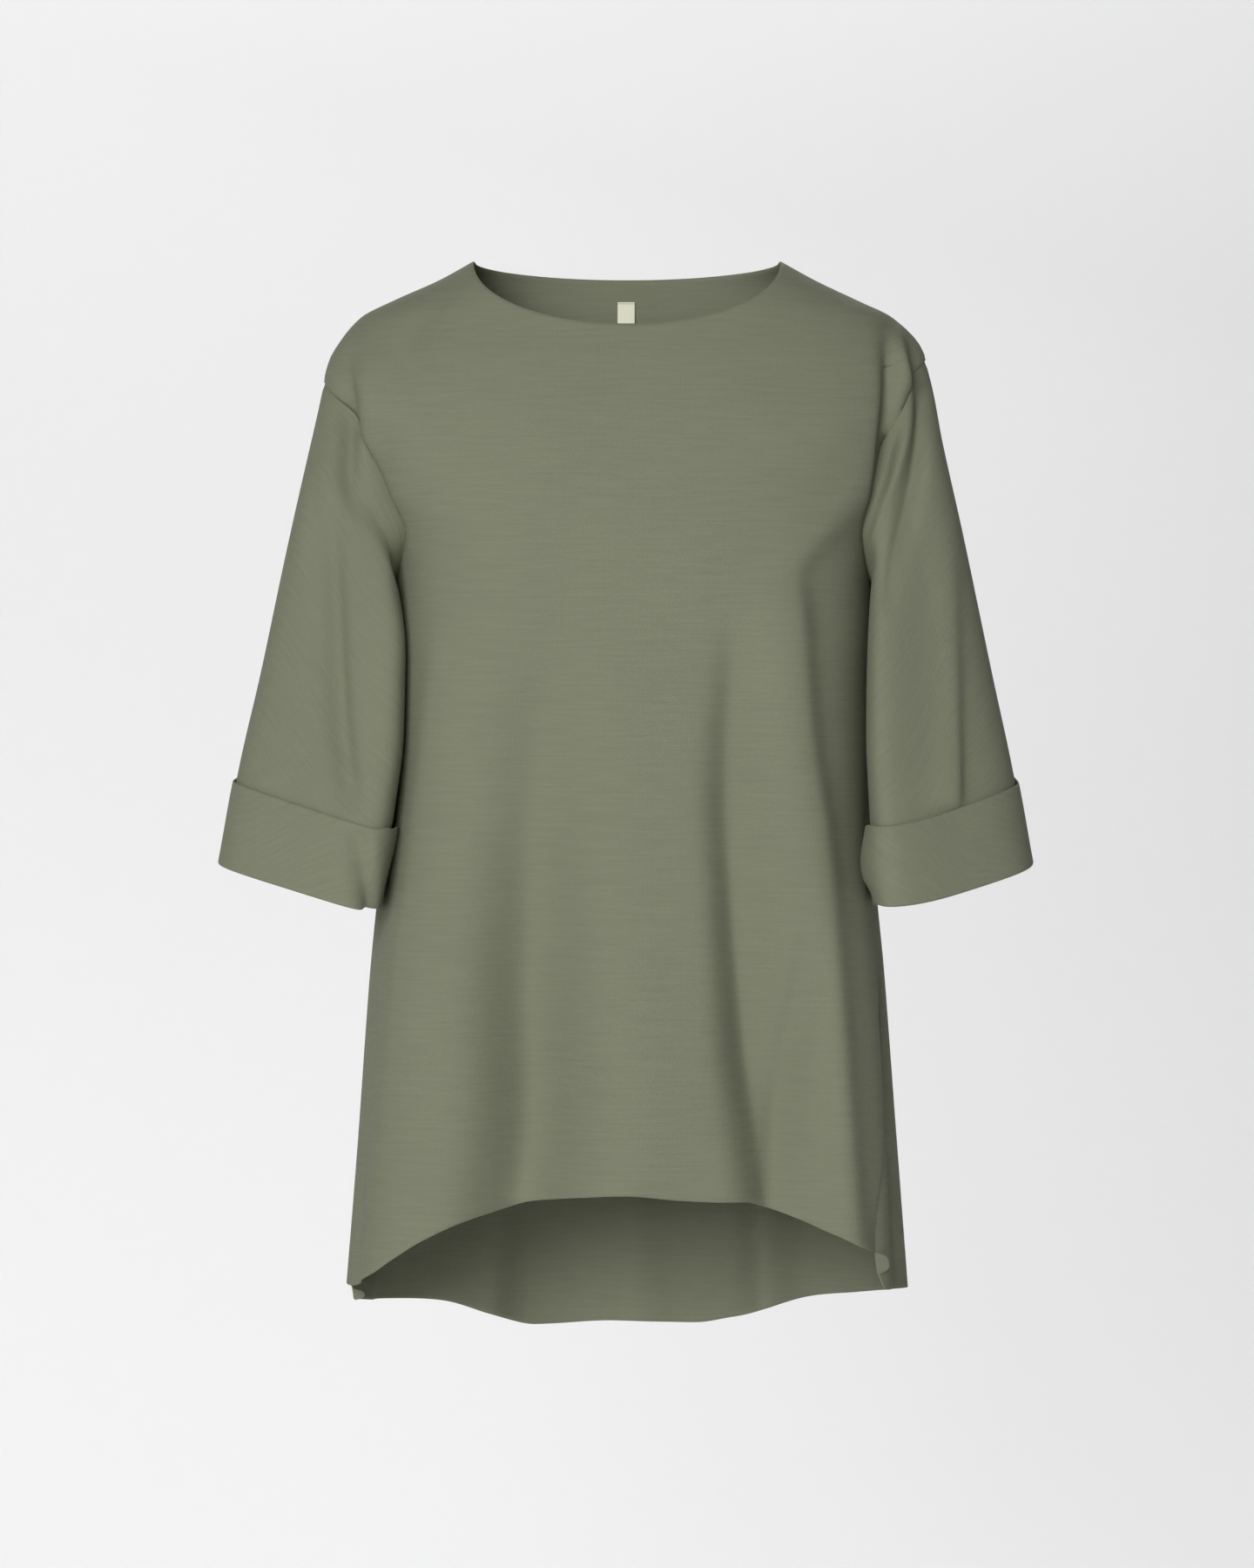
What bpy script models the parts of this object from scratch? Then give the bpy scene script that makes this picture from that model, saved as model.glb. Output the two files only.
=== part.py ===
"""T-shirt of plain jersey, filled out as when worn, with nobody in it.

Metres, +Z up. The front faces -Y and the wearer's left sleeve is at +X. The origin is midway between
the two ends of the neckline, at the height where the shoulders hold the garment up.

The body is a stack of level sections. Front and back are cut from it along the shoulder, armhole and
side seams. Each sleeve starts on its armhole seam, hangs as a tube and is turned up outside as a cuff.
"""

import bpy
import numpy as np

COLLECTION = "t_shirt"

CLOTH = 0.0012
SEAM_GAP = 0.0003
LABEL_THICKNESS = 0.0006

FRONT_COLUMNS = 38
BACK_COLUMNS = 30
SHOULDER_ROWS = 6
ARMHOLE_ROWS = 12
SIDE_ROWS = 12
TAIL_ROWS = 1
SLEEVE_ROWS = 11
CUFF_ROWS = 3
FOLD_ROWS = 5

NECK_HALF_WIDTH = 0.1085
FRONT_NECK_DROP = 0.0504
BACK_NECK_DROP = 0.0066

# Heights, at the middle of each panel, of the rows that meet the armhole's top and its bottom.
FRONT_ARMHOLE_LEVELS = (-0.128, -0.262)
BACK_ARMHOLE_LEVELS = (-0.105, -0.262)
# Shares of a panel's rows: those above the first bend to the neckline, those below the second to the hem.
NECK_REACH = 0.30
HEM_START = 0.40
# Share of a panel's half width, next to its side edge, in which the folds fade out.
SEAM_FADE = 0.12

RIGHT = -1
LEFT = 1

BODY_COLUMNS = ("height", "right_half", "left_half", "front", "back", "side_y", "front_power", "back_power")
BODY_SECTIONS = (
    (0.000, 0.1085, 0.1085, 0.058, 0.064, 0.000, 2.2, 2.2),
    (-0.014, 0.1340, 0.1340, 0.062, 0.071, 0.000, 2.2, 2.2),
    (-0.028, 0.1655, 0.1635, 0.067, 0.077, 0.000, 2.2, 2.2),
    (-0.040, 0.1885, 0.1880, 0.0715, 0.082, 0.000, 2.25, 2.2),
    (-0.061, 0.2057, 0.2080, 0.081, 0.090, 0.000, 2.3, 2.2),
    (-0.070, 0.2105, 0.2110, 0.0855, 0.093, 0.000, 2.3, 2.2),
    (-0.086, 0.2140, 0.2105, 0.092, 0.098, 0.000, 2.35, 2.2),
    (-0.117, 0.2010, 0.2030, 0.103, 0.105, 0.000, 2.4, 2.2),
    (-0.164, 0.1805, 0.1840, 0.1145, 0.110, 0.000, 2.4, 2.2),
    (-0.200, 0.1665, 0.1725, 0.1205, 0.110, 0.010, 2.45, 2.2),
    (-0.235, 0.1675, 0.1735, 0.1235, 0.109, 0.027, 2.45, 2.25),
    (-0.260, 0.1690, 0.1745, 0.1240, 0.108, 0.032, 2.5, 2.3),
    (-0.300, 0.1675, 0.1725, 0.1230, 0.107, 0.033, 2.8, 2.3),
    (-0.360, 0.1685, 0.1725, 0.1215, 0.108, 0.034, 3.1, 2.4),
    (-0.430, 0.1750, 0.1755, 0.1215, 0.112, 0.034, 2.95, 2.5),
    (-0.500, 0.1815, 0.1815, 0.1225, 0.118, 0.027, 2.8, 2.5),
    (-0.620, 0.1900, 0.1905, 0.1265, 0.128, 0.025, 2.8, 2.5),
    (-0.770, 0.2020, 0.2020, 0.1320, 0.138, 0.023, 2.8, 2.5),
)

ARMHOLE = {
    RIGHT: {"top": -0.0856, "bottom": -0.235, "half_depth": 0.055, "bottom_y": -0.012},
    LEFT: {"top": -0.0699, "bottom": -0.229, "half_depth": 0.055, "bottom_y": -0.012},
}

SEAM_COLUMNS = ("height", "right_y", "left_y")
SIDE_SEAM = (
    (-0.230, -0.012, -0.012),
    (-0.400, -0.010, -0.014),
    (-0.600, -0.008, -0.025),
    (-0.740, -0.012, -0.042),
)

HEM_COLUMNS = ("across", "height")
FRONT_HEM = (
    (-1.00, -0.713),
    (-0.70, -0.696),
    (-0.57, -0.680),
    (-0.45, -0.667),
    (-0.28, -0.654),
    (0.00, -0.650),
    (0.24, -0.653),
    (0.44, -0.659),
    (0.62, -0.675),
    (0.72, -0.685),
    (1.00, -0.694),
)
BACK_HEM = (
    (-1.00, -0.733),
    (-0.70, -0.740),
    (-0.56, -0.743),
    (-0.45, -0.753),
    (-0.31, -0.765),
    (0.00, -0.762),
    (0.24, -0.763),
    (0.34, -0.757),
    (0.45, -0.745),
    (0.58, -0.737),
    (0.76, -0.731),
    (1.00, -0.720),
)

SLEEVE_COLUMNS = ("along", "out_x", "out_y", "out_z", "in_x", "in_y", "in_z", "half_depth", "front_sag")
SLEEVE_SECTIONS = {
    RIGHT: (
        (0.00, 0.2140, 0.000, -0.0856, 0.1628, -0.012, -0.2350, 0.055, 0.000),
        (0.07, 0.2185, 0.000, -0.1080, 0.1655, -0.016, -0.2365, 0.057, 0.000),
        (0.16, 0.2248, -0.001, -0.1380, 0.1620, -0.026, -0.2440, 0.057, 0.000),
        (0.36, 0.2408, -0.005, -0.2080, 0.1560, -0.044, -0.2800, 0.054, 0.001),
        (0.60, 0.2583, -0.012, -0.2920, 0.1575, -0.053, -0.3350, 0.054, 0.002),
        (0.80, 0.2710, -0.020, -0.3500, 0.1645, -0.060, -0.3870, 0.055, 0.003),
        (1.00, 0.2840, -0.030, -0.4215, 0.1735, -0.064, -0.4550, 0.056, 0.003),
    ),
    LEFT: (
        (0.00, 0.2110, 0.000, -0.0699, 0.1685, -0.012, -0.2290, 0.055, 0.000),
        (0.07, 0.2168, 0.000, -0.0950, 0.1715, -0.016, -0.2305, 0.057, 0.000),
        (0.16, 0.2236, -0.001, -0.1260, 0.1695, -0.026, -0.2400, 0.057, 0.000),
        (0.36, 0.2400, -0.005, -0.2000, 0.1665, -0.044, -0.2770, 0.054, 0.001),
        (0.60, 0.2584, -0.012, -0.2880, 0.1655, -0.053, -0.3350, 0.054, 0.003),
        (0.80, 0.2714, -0.020, -0.3500, 0.1675, -0.060, -0.3870, 0.055, 0.005),
        (1.00, 0.2840, -0.030, -0.4205, 0.1720, -0.064, -0.4540, 0.056, 0.006),
    ),
}
LOOP_BLEND = 0.45
CUFF_HEIGHT = 0.058
CUFF_SPACE = 0.0010
OUTER_LENGTH = 0.345
INNER_LENGTH = 0.224
CLEAR_OF_BODY = 0.0030
CLEAR_SOFTNESS = 0.003
# Shares of a sleeve's length in which it comes clear of the body, and in which its folds set in.
CLEAR_START = 0.50
PUSH_START = 0.25
FOLD_START = 0.12
DEEPEST_SHARE = 0.98

FOLD_COLUMNS = ("x0", "z0", "x1", "z1", "bow", "width0", "width1", "height", "fade0", "fade1")
FRONT_FOLDS = {
    "right_trough": (-0.068, -0.290, -0.092, -0.660, -0.012, 0.020, 0.017, -0.0095, 0.30, 0.00),
    "right_trough_head": (-0.028, -0.185, -0.072, -0.330, -0.006, 0.020, 0.022, -0.0030, 0.40, 0.40),
    "left_trough": (0.058, -0.290, 0.090, -0.660, 0.008, 0.013, 0.018, -0.0085, 0.30, 0.00),
    "middle_swell": (-0.006, -0.270, -0.004, -0.660, 0.000, 0.032, 0.034, 0.0045, 0.35, 0.00),
    "left_swell": (0.105, -0.330, 0.122, -0.660, 0.006, 0.018, 0.016, 0.0050, 0.30, 0.00),
    "left_ridge": (0.116, -0.215, 0.158, -0.690, -0.010, 0.014, 0.012, 0.0045, 0.20, 0.00),
    "right_ridge": (-0.108, -0.240, -0.178, -0.690, 0.010, 0.014, 0.012, 0.0040, 0.20, 0.00),
}
BACK_FOLDS = {
    "back_right_trough": (-0.075, -0.240, -0.105, -0.745, 0.008, 0.019, 0.021, -0.0080, 0.30, 0.00),
    "back_middle_trough": (0.012, -0.330, 0.006, -0.760, -0.006, 0.018, 0.022, -0.0050, 0.35, 0.00),
    "back_left_trough": (0.080, -0.260, 0.108, -0.740, -0.006, 0.017, 0.020, -0.0085, 0.30, 0.00),
}
SLEEVE_FOLDS = {
    RIGHT: {
        "upper_trough": (-0.196, -0.070, -0.187, -0.165, 0.002, 0.009, 0.008, -0.0045, 0.30, 0.35),
        "lower_trough": (-0.211, -0.190, -0.196, -0.385, 0.003, 0.010, 0.011, -0.0050, 0.30, 0.30),
    },
    LEFT: {
        "upper_ridge": (0.199, -0.100, 0.173, -0.200, 0.004, 0.009, 0.009, 0.0040, 0.30, 0.35),
        "lower_trough": (0.203, -0.120, 0.181, -0.260, 0.004, 0.010, 0.010, -0.0045, 0.30, 0.40),
        "front_edge": (0.230, -0.170, 0.232, -0.375, 0.000, 0.014, 0.014, 0.0030, 0.30, 0.25),
    },
}

SHARP_ANGLE = np.radians(50)

LABEL_COLUMNS = 3
LABEL_ROWS = 6
LABEL_LEFT_X = -0.0068
LABEL_RIGHT_X = 0.0055
LABEL_TOP = -0.0215
LABEL_BOTTOM = -0.0465
LABEL_LEAN = 0.0030

CLOTH_COLOUR = (0.214, 0.226, 0.158, 1.0)
CLOTH_ROUGHNESS = 0.9
LABEL_COLOUR = (0.75, 0.76, 0.60, 1.0)
LABEL_ROUGHNESS = 0.7

HALVINGS = 50
SEAM_SAMPLES = 400
SMALL_ANGLE = 0.01
SMALL_STEP = 0.001
LEAST_FACING = 0.6


def smooth(at, xs, ys):
    """Value at `at` on a smooth curve through (xs, ys) that adds no bump of its own between two points."""
    xs = np.asarray(xs, float)
    ys = np.asarray(ys, float)
    if xs[0] > xs[-1]:
        xs = xs[::-1]
        ys = ys[::-1]
    step = np.diff(xs)
    slope = np.diff(ys) / step
    tangent = np.zeros(len(xs))
    tangent[0] = slope[0]
    tangent[-1] = slope[-1]
    same_way = slope[:-1] * slope[1:] > 0
    mean = 2 * slope[:-1] * slope[1:] / np.where(same_way, slope[:-1] + slope[1:], 1.0)
    tangent[1:-1] = np.where(same_way, mean, 0.0)
    at = np.clip(at, xs[0], xs[-1])
    i = np.clip(np.searchsorted(xs, at) - 1, 0, len(step) - 1)
    t = (at - xs[i]) / step[i]
    rise = ys[i] * (1 + 2 * t) * (1 - t) ** 2 + ys[i + 1] * t * t * (3 - 2 * t)
    bend = tangent[i] * t * (1 - t) ** 2 - tangent[i + 1] * t * t * (1 - t)
    return rise + bend * step[i]


def column(table, names, name):
    return [row[names.index(name)] for row in table]


def body(name, height):
    """One named measure of the body's section at a height."""
    heights = column(BODY_SECTIONS, BODY_COLUMNS, "height")
    return smooth(height, heights, column(BODY_SECTIONS, BODY_COLUMNS, name))


def ease(value):
    """0 below 0, 1 above 1, with a soft start and end between."""
    value = np.clip(value, 0.0, 1.0)
    return value * value * (3 - 2 * value)


def on_body(height, angle):
    """Point on the body: the angle is 0 at the middle of the front, 90 degrees at +X, 180 at the back."""
    half = np.where(angle >= 0, body("left_half", height), body("right_half", height))
    side_y = body("side_y", height)
    is_front = np.abs(angle) <= np.pi / 2
    depth = np.where(is_front, body("front", height) + side_y, body("back", height) - side_y)
    power = np.where(is_front, body("front_power", height), body("back_power", height))
    across = np.abs(np.sin(angle) / half) ** power + np.abs(np.cos(angle) / depth) ** power
    radius = across ** (-1 / power)
    return np.stack([radius * np.sin(angle), side_y - radius * np.cos(angle), height + 0 * radius], -1)


def halve(low, high, is_above):
    """The value between low and high where is_above turns from false to true."""
    for _ in range(HALVINGS):
        middle = (low + high) / 2
        above = is_above(middle)
        high = np.where(above, middle, high)
        low = np.where(above, low, middle)
    return (low + high) / 2


def neck_heights(angle, drop):
    """Heights of the neckline, which is half an ellipse seen from the front."""

    def inside(height):
        across = on_body(height, angle)[..., 0] / NECK_HALF_WIDTH
        return across**2 + (height / drop) ** 2 < 1

    return halve(np.full(angle.shape, -drop), np.zeros(angle.shape), inside)


def shoulder_heights(side):
    """Heights of points evenly spaced along the shoulder seam."""
    heights = np.linspace(0, ARMHOLE[side]["top"], SEAM_SAMPLES)
    line = on_body(heights, np.full(SEAM_SAMPLES, side * np.pi / 2))
    run = np.concatenate([[0], np.cumsum(np.linalg.norm(np.diff(line, axis=0), axis=1))])
    return np.interp(np.linspace(0, run[-1], SHOULDER_ROWS + 1), run, heights)


def panel_edge(side, is_front, end):
    """(heights, angles) of one side edge of a panel: shoulder seam, then armhole, then side seam to its end."""
    hole = ARMHOLE[side]
    middle = (hole["top"] + hole["bottom"]) / 2
    half = (hole["top"] - hole["bottom"]) / 2
    turn = np.linspace(0, np.pi, ARMHOLE_ROWS + 1)[1:]
    arm_heights = middle + half * np.cos(turn)
    arm_y = hole["half_depth"] * np.sin(turn) * (-1 if is_front else 1)
    arm_y += hole["bottom_y"] * (1 - np.cos(turn)) / 2
    seam_end = smooth(side, *zip(*FRONT_HEM))
    side_heights = np.linspace(hole["bottom"], seam_end, SIDE_ROWS + 1)[1:]
    if end < seam_end:
        tail = np.linspace(seam_end, end, TAIL_ROWS + 1)[1:]
        side_heights = np.concatenate([side_heights, tail])
    seam_heights = column(SIDE_SEAM, SEAM_COLUMNS, "height")
    which = "left_y" if side == LEFT else "right_y"
    side_y = smooth(side_heights, seam_heights, column(SIDE_SEAM, SEAM_COLUMNS, which))
    shoulder = shoulder_heights(side)
    below = np.concatenate([arm_heights, side_heights])
    below_y = np.concatenate([arm_y, side_y])
    low = np.full(len(below), SMALL_ANGLE)
    high = np.full(len(below), np.pi - SMALL_ANGLE)
    angles = halve(low, high, lambda angle: on_body(below, side * angle)[:, 1] > below_y)
    heights = np.concatenate([shoulder, below])
    return heights, side * np.concatenate([np.full(SHOULDER_ROWS + 1, np.pi / 2), angles])


def fold_heights(x, z, folds):
    """How far the named folds lift the cloth at (x, z), as seen from the front."""
    total = np.zeros(np.shape(x))
    for values in folds.values():
        fold = dict(zip(FOLD_COLUMNS, values))
        run = np.array([fold["x1"] - fold["x0"], fold["z1"] - fold["z0"]])
        length = np.hypot(*run)
        along = ((x - fold["x0"]) * run[0] + (z - fold["z0"]) * run[1]) / length**2
        aside = ((x - fold["x0"]) * run[1] - (z - fold["z0"]) * run[0]) / -length
        aside = aside - fold["bow"] * 4 * along * (1 - along)
        width = fold["width0"] + (fold["width1"] - fold["width0"]) * np.clip(along, 0, 1)
        ends = ease(along / fold["fade0"])
        if fold["fade1"] > 0:
            ends = ends * ease((1 - along) / fold["fade1"])
        total += fold["height"] * ends * np.exp(-((aside / width) ** 2))
    return total


def unit(vectors):
    return vectors / np.maximum(np.linalg.norm(vectors, axis=-1, keepdims=True), 1e-12)


def grid_normals(grid, is_tube=False):
    """Unit normals of a grid of points, turned by the grid's own row and column order."""
    down = np.gradient(grid, axis=0)
    if is_tube:
        around = (np.roll(grid, -1, axis=1) - np.roll(grid, 1, axis=1)) / 2
    else:
        around = np.gradient(grid, axis=1)
    return unit(np.cross(down, around))


def panel_grid(is_front):
    """Outer points of the front or back panel, a row across at a time from neckline to hem, from -X to +X."""
    columns = FRONT_COLUMNS if is_front else BACK_COLUMNS
    hem = FRONT_HEM if is_front else BACK_HEM
    drop = FRONT_NECK_DROP if is_front else BACK_NECK_DROP
    across = np.linspace(-1, 1, columns + 1)
    hem_heights = smooth(across, *zip(*hem))
    ends = {side: smooth(side, *zip(*hem)) for side in (RIGHT, LEFT)}
    edges = {side: panel_edge(side, is_front, ends[side]) for side in (RIGHT, LEFT)}
    rows = len(edges[RIGHT][0])
    steps = (0, SHOULDER_ROWS, SHOULDER_ROWS + ARMHOLE_ROWS, rows - 1)
    armhole_levels = FRONT_ARMHOLE_LEVELS if is_front else BACK_ARMHOLE_LEVELS
    levels = (-drop, *armhole_levels, smooth(0.0, *zip(*hem)))
    middle = np.interp(np.arange(rows), steps, levels)
    middle_angle = 0.0 if is_front else np.pi
    heights = np.zeros((rows, columns + 1))
    angles = np.zeros((rows, columns + 1))
    for side in (RIGHT, LEFT):
        mine = across * side >= 0
        share = np.abs(across[mine])
        edge_heights, edge_angles = edges[side]
        keep = (1 - share**2) ** 2
        heights[:, mine] = edge_heights[:, None] * (1 - keep) + middle[:, None] * keep
        start = side * middle_angle
        angles[:, mine] = start + (edge_angles[:, None] - start) * share
    share_down = np.linspace(0, 1, rows)[:, None]
    top = neck_heights(angles[0], drop)
    heights += (top - heights[0]) * np.clip(1 - share_down / NECK_REACH, 0, 1) ** 2
    near_hem = np.clip((share_down - HEM_START) / (1 - HEM_START), 0, 1)
    heights += (hem_heights - heights[-1]) * near_hem**2
    grid = on_body(heights, angles)
    folds = FRONT_FOLDS if is_front else BACK_FOLDS
    lift = fold_heights(grid[..., 0], grid[..., 2], folds)
    side_edge = ease((1 - np.abs(across)) / SEAM_FADE)
    outward = grid_normals(grid) * (1 if is_front else -1)
    grid = grid + outward * (lift * side_edge)[..., None]
    return grid, grid_normals(grid) * (1 if is_front else -1)


def sleeve_grid(side, loop):
    """Outer points of a sleeve down to its folded edge, a ring at a time, each ring in the loop's own order."""
    table = SLEEVE_SECTIONS[side]
    count = len(loop)
    turn = 2 * np.pi * np.arange(count) / count
    run = OUTER_LENGTH + (INNER_LENGTH - OUTER_LENGTH) * (1 - np.cos(turn)) / 2
    cuff_top = 1 - CUFF_HEIGHT / run
    upper = np.linspace(0, 1, SLEEVE_ROWS + 1)[:, None] * cuff_top
    lower = cuff_top + np.linspace(0, 1, CUFF_ROWS + 1)[1:, None] * (1 - cuff_top)
    along = np.concatenate([upper, lower])

    def read(name):
        return smooth(along, column(table, SLEEVE_COLUMNS, "along"), column(table, SLEEVE_COLUMNS, name))

    share = (1 + np.cos(turn)) / 2
    x = read("in_x") + (read("out_x") - read("in_x")) * share
    z = read("in_z") + (read("out_z") - read("in_z")) * share - read("front_sag") * np.sin(turn)
    y = read("in_y") + (read("out_y") - read("in_y")) * share - read("half_depth") * np.sin(turn)
    grid = np.stack([side * x, y, z], -1)
    grid += (loop - grid[0]) * (np.clip(1 - along / LOOP_BLEND, 0, 1) ** 2)[..., None]
    side_y = body("side_y", z)
    is_front = grid[..., 1] < side_y
    depth = np.where(is_front, body("front", z) + side_y, body("back", z) - side_y)
    power = np.where(is_front, body("front_power", z), body("back_power", z))
    half = body("left_half" if side == LEFT else "right_half", z)
    share_deep = np.clip(np.abs(grid[..., 1] - side_y) / depth, 0, DEEPEST_SHARE)
    wall = half * (1 - share_deep**power) ** (1 / power)
    needed = wall + CLEAR_OF_BODY * ease(along / CLEAR_START) - side * grid[..., 0]
    soft = CLEAR_SOFTNESS * np.log1p(np.exp(np.clip(needed / CLEAR_SOFTNESS, -30, 30)))
    grid[..., 0] += side * soft * ease(along / PUSH_START)
    outward = grid_normals(grid, is_tube=True) * -side
    facing = ease(-outward[..., 1] * 1.5 - 0.1) * ease(along / FOLD_START)
    lift = fold_heights(grid[..., 0], grid[..., 2], SLEEVE_FOLDS[side]) * facing
    grid = grid + outward * lift[..., None]
    return grid, grid_normals(grid, is_tube=True) * -side


def add_object(name, points, faces, colour, roughness):
    mesh = bpy.data.meshes.new(name)
    mesh.from_pydata([tuple(point) for point in points], [], faces)
    mesh.validate()
    mesh.shade_smooth()
    mesh.set_sharp_from_angle(angle=SHARP_ANGLE)
    obj = bpy.data.objects.new(name, mesh)
    bpy.data.collections[COLLECTION].objects.link(obj)
    material = bpy.data.materials.new(name)
    material.use_nodes = True
    shader = material.node_tree.nodes["Principled BSDF"]
    shader.inputs["Base Color"].default_value = colour
    shader.inputs["Roughness"].default_value = roughness
    mesh.materials.append(material)
    return obj


def rim_faces(first, second, inner, is_turned):
    """Two triangles closing the wall's edge between two neighbouring points, split the same way on both
    pieces of a seam, so that the pieces stay apart."""
    if is_turned:
        return [[first, second, inner + first], [second, inner + second, inner + first]]
    return [[first, second, inner + second], [first, inner + second, inner + first]]


def wall_faces(outer, is_tube):
    """Triangles of a wall whose points are an outer grid followed by an inner one of the same size.
    Each cell is split along its shorter diagonal, outside and inside alike, so that the faces never meet."""
    faces = []
    rows, columns = outer.shape[:2]
    inner = rows * columns
    falling = np.linalg.norm(outer[:-1] - np.roll(outer, -1, axis=1)[1:], axis=-1)
    rising = np.linalg.norm(outer[1:] - np.roll(outer, -1, axis=1)[:-1], axis=-1)
    spans = columns if is_tube else columns - 1

    def point(row, col):
        return row * columns + col % columns

    for row in range(rows - 1):
        for col in range(spans):
            a, b = point(row, col), point(row + 1, col)
            c, d = point(row + 1, col + 1), point(row, col + 1)
            pair = [[a, b, c], [a, c, d]] if falling[row, col] <= rising[row, col] else [[a, b, d], [b, c, d]]
            faces += pair
            faces += [[inner + corner for corner in reversed(face)] for face in pair]
    for col in range(spans):
        is_turned = is_tube and col >= ARMHOLE_ROWS
        faces += rim_faces(point(0, col), point(0, col + 1), inner, is_turned)
        last = rim_faces(point(rows - 1, col), point(rows - 1, col + 1), inner, False)
        faces += [face[::-1] for face in last]
    if not is_tube:
        for row in range(rows - 1):
            left = rim_faces(point(row, 0), point(row + 1, 0), inner, False)
            faces += [face[::-1] for face in left]
            faces += rim_faces(point(row, columns - 1), point(row + 1, columns - 1), inner, False)
    return faces


def add_wall(name, outer, inner, is_tube, is_flipped, colour, roughness):
    faces = wall_faces(outer, is_tube)
    if is_flipped:
        faces = [face[::-1] for face in faces]
    points = np.concatenate([outer.reshape(-1, 3), inner.reshape(-1, 3)])
    return add_object(name, points, faces, colour, roughness)


def seam_shift(here, toward, normal, tangent):
    """A move off the seam by half its gap, square to the seam and to the cloth's own direction there."""
    tangent = unit(tangent - normal * (tangent * normal).sum(-1, keepdims=True))
    into = toward - here
    into = into - normal * (into * normal).sum(-1, keepdims=True)
    into = into - tangent * (into * tangent).sum(-1, keepdims=True)
    return unit(into) * SEAM_GAP / 2


def corner_shift(here, before, after, normal):
    """A move off two seams that meet at a corner of a piece."""
    first = unit(before - here)
    second = unit(after - here)
    half_angle = np.arccos(np.clip((first * second).sum(-1), -1, 1)) / 2
    into = first + second
    into = into - normal * (into * normal).sum(-1, keepdims=True)
    return unit(into) * SEAM_GAP / 2 / np.sin(half_angle)


def line_tangent(points):
    return unit(np.gradient(points, axis=0))


def build():
    front, front_normals = panel_grid(is_front=True)
    back, back_normals = panel_grid(is_front=False)
    top = SHOULDER_ROWS
    under = SHOULDER_ROWS + ARMHOLE_ROWS
    seam_rows = len(front)
    front_shift = np.zeros(front.shape)
    back_shift = np.zeros(back.shape)
    front_reach = np.ones(front.shape[:2])
    back_reach = np.ones(back.shape[:2])
    sleeves = {}
    for side in (RIGHT, LEFT):
        edge = 0 if side == RIGHT else -1
        next_in = 1 if side == RIGHT else -2
        line = front[:, edge].copy()
        back_line = back[:, edge]
        back_line[: top + 1] = line[: top + 1]
        back_line[under:seam_rows] = line[under:]
        loop = np.concatenate([line[top : under + 1], back_line[top + 1 : under][::-1]])
        grid, normals = sleeve_grid(side, loop)
        sleeves[side] = [grid, normals, np.zeros(grid.shape), np.ones(grid.shape[:2])]
        f = front_normals[:, edge]
        b = back_normals[:, edge]
        s = normals[0]
        count = len(loop)
        shared = f.copy()
        shared[: top + 1] = f[: top + 1] + b[: top + 1]
        shared[top : under + 1] += s[: ARMHOLE_ROWS + 1]
        shared[under:] += b[under:seam_rows]
        back_shared = b.copy()
        back_shared[:seam_rows][: top + 1] = shared[: top + 1]
        back_shared[under:seam_rows] = shared[under:]
        opposite = [0] + list(range(count - 1, ARMHOLE_ROWS - 1, -1))
        back_shared[top + 1 : under] += s[opposite[1:-1]]
        shared = unit(shared)
        back_shared = unit(back_shared)
        reach = 1 / np.clip((shared * unit(f)).sum(-1), LEAST_FACING, 1)
        back_reach_line = 1 / np.clip((back_shared * unit(b)).sum(-1), LEAST_FACING, 1)
        back_reach_line[: top + 1] = reach[: top + 1]
        back_reach_line[under:seam_rows] = reach[under:]
        front_normals[:, edge] = shared
        back_normals[:, edge] = back_shared
        front_reach[:, edge] = reach
        back_reach[:, edge] = back_reach_line
        tangent = line_tangent(line)
        back_tangent = line_tangent(back_line)
        front_shift[:, edge] = seam_shift(line, front[:, next_in], shared, tangent)
        back_shift[:, edge] = seam_shift(back_line, back[:, next_in], back_shared, back_tangent)
        for row in (top, under):
            front_shift[row, edge] = corner_shift(line[row], line[row - 1], line[row + 1], shared[row])
            back_shift[row, edge] = corner_shift(
                back_line[row], back_line[row - 1], back_line[row + 1], back_shared[row]
            )
        loop_normals = np.concatenate([shared[top : under + 1], back_shared[top + 1 : under][::-1]])
        loop_reach = np.concatenate([reach[top : under + 1], back_reach_line[top + 1 : under][::-1]])
        loop_tangent = np.roll(loop, -1, axis=0) - np.roll(loop, 1, axis=0)
        sleeves[side][1][0] = loop_normals
        sleeves[side][3][0] = loop_reach
        sleeves[side][2][0] = seam_shift(loop, grid[1], loop_normals, unit(loop_tangent))
    for name, grid, normals, shift, reach, is_flipped in (
        ("front_panel", front, front_normals, front_shift, front_reach, False),
        ("back_panel", back, back_normals, back_shift, back_reach, True),
    ):
        outer = grid + shift
        inner = outer - normals * (CLOTH * reach)[..., None]
        add_wall(name, outer, inner, False, is_flipped, CLOTH_COLOUR, CLOTH_ROUGHNESS)
    for side, name in ((LEFT, "sleeve_left"), (RIGHT, "sleeve_right")):
        add_sleeve(name, side, *sleeves[side])
    add_label()


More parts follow.
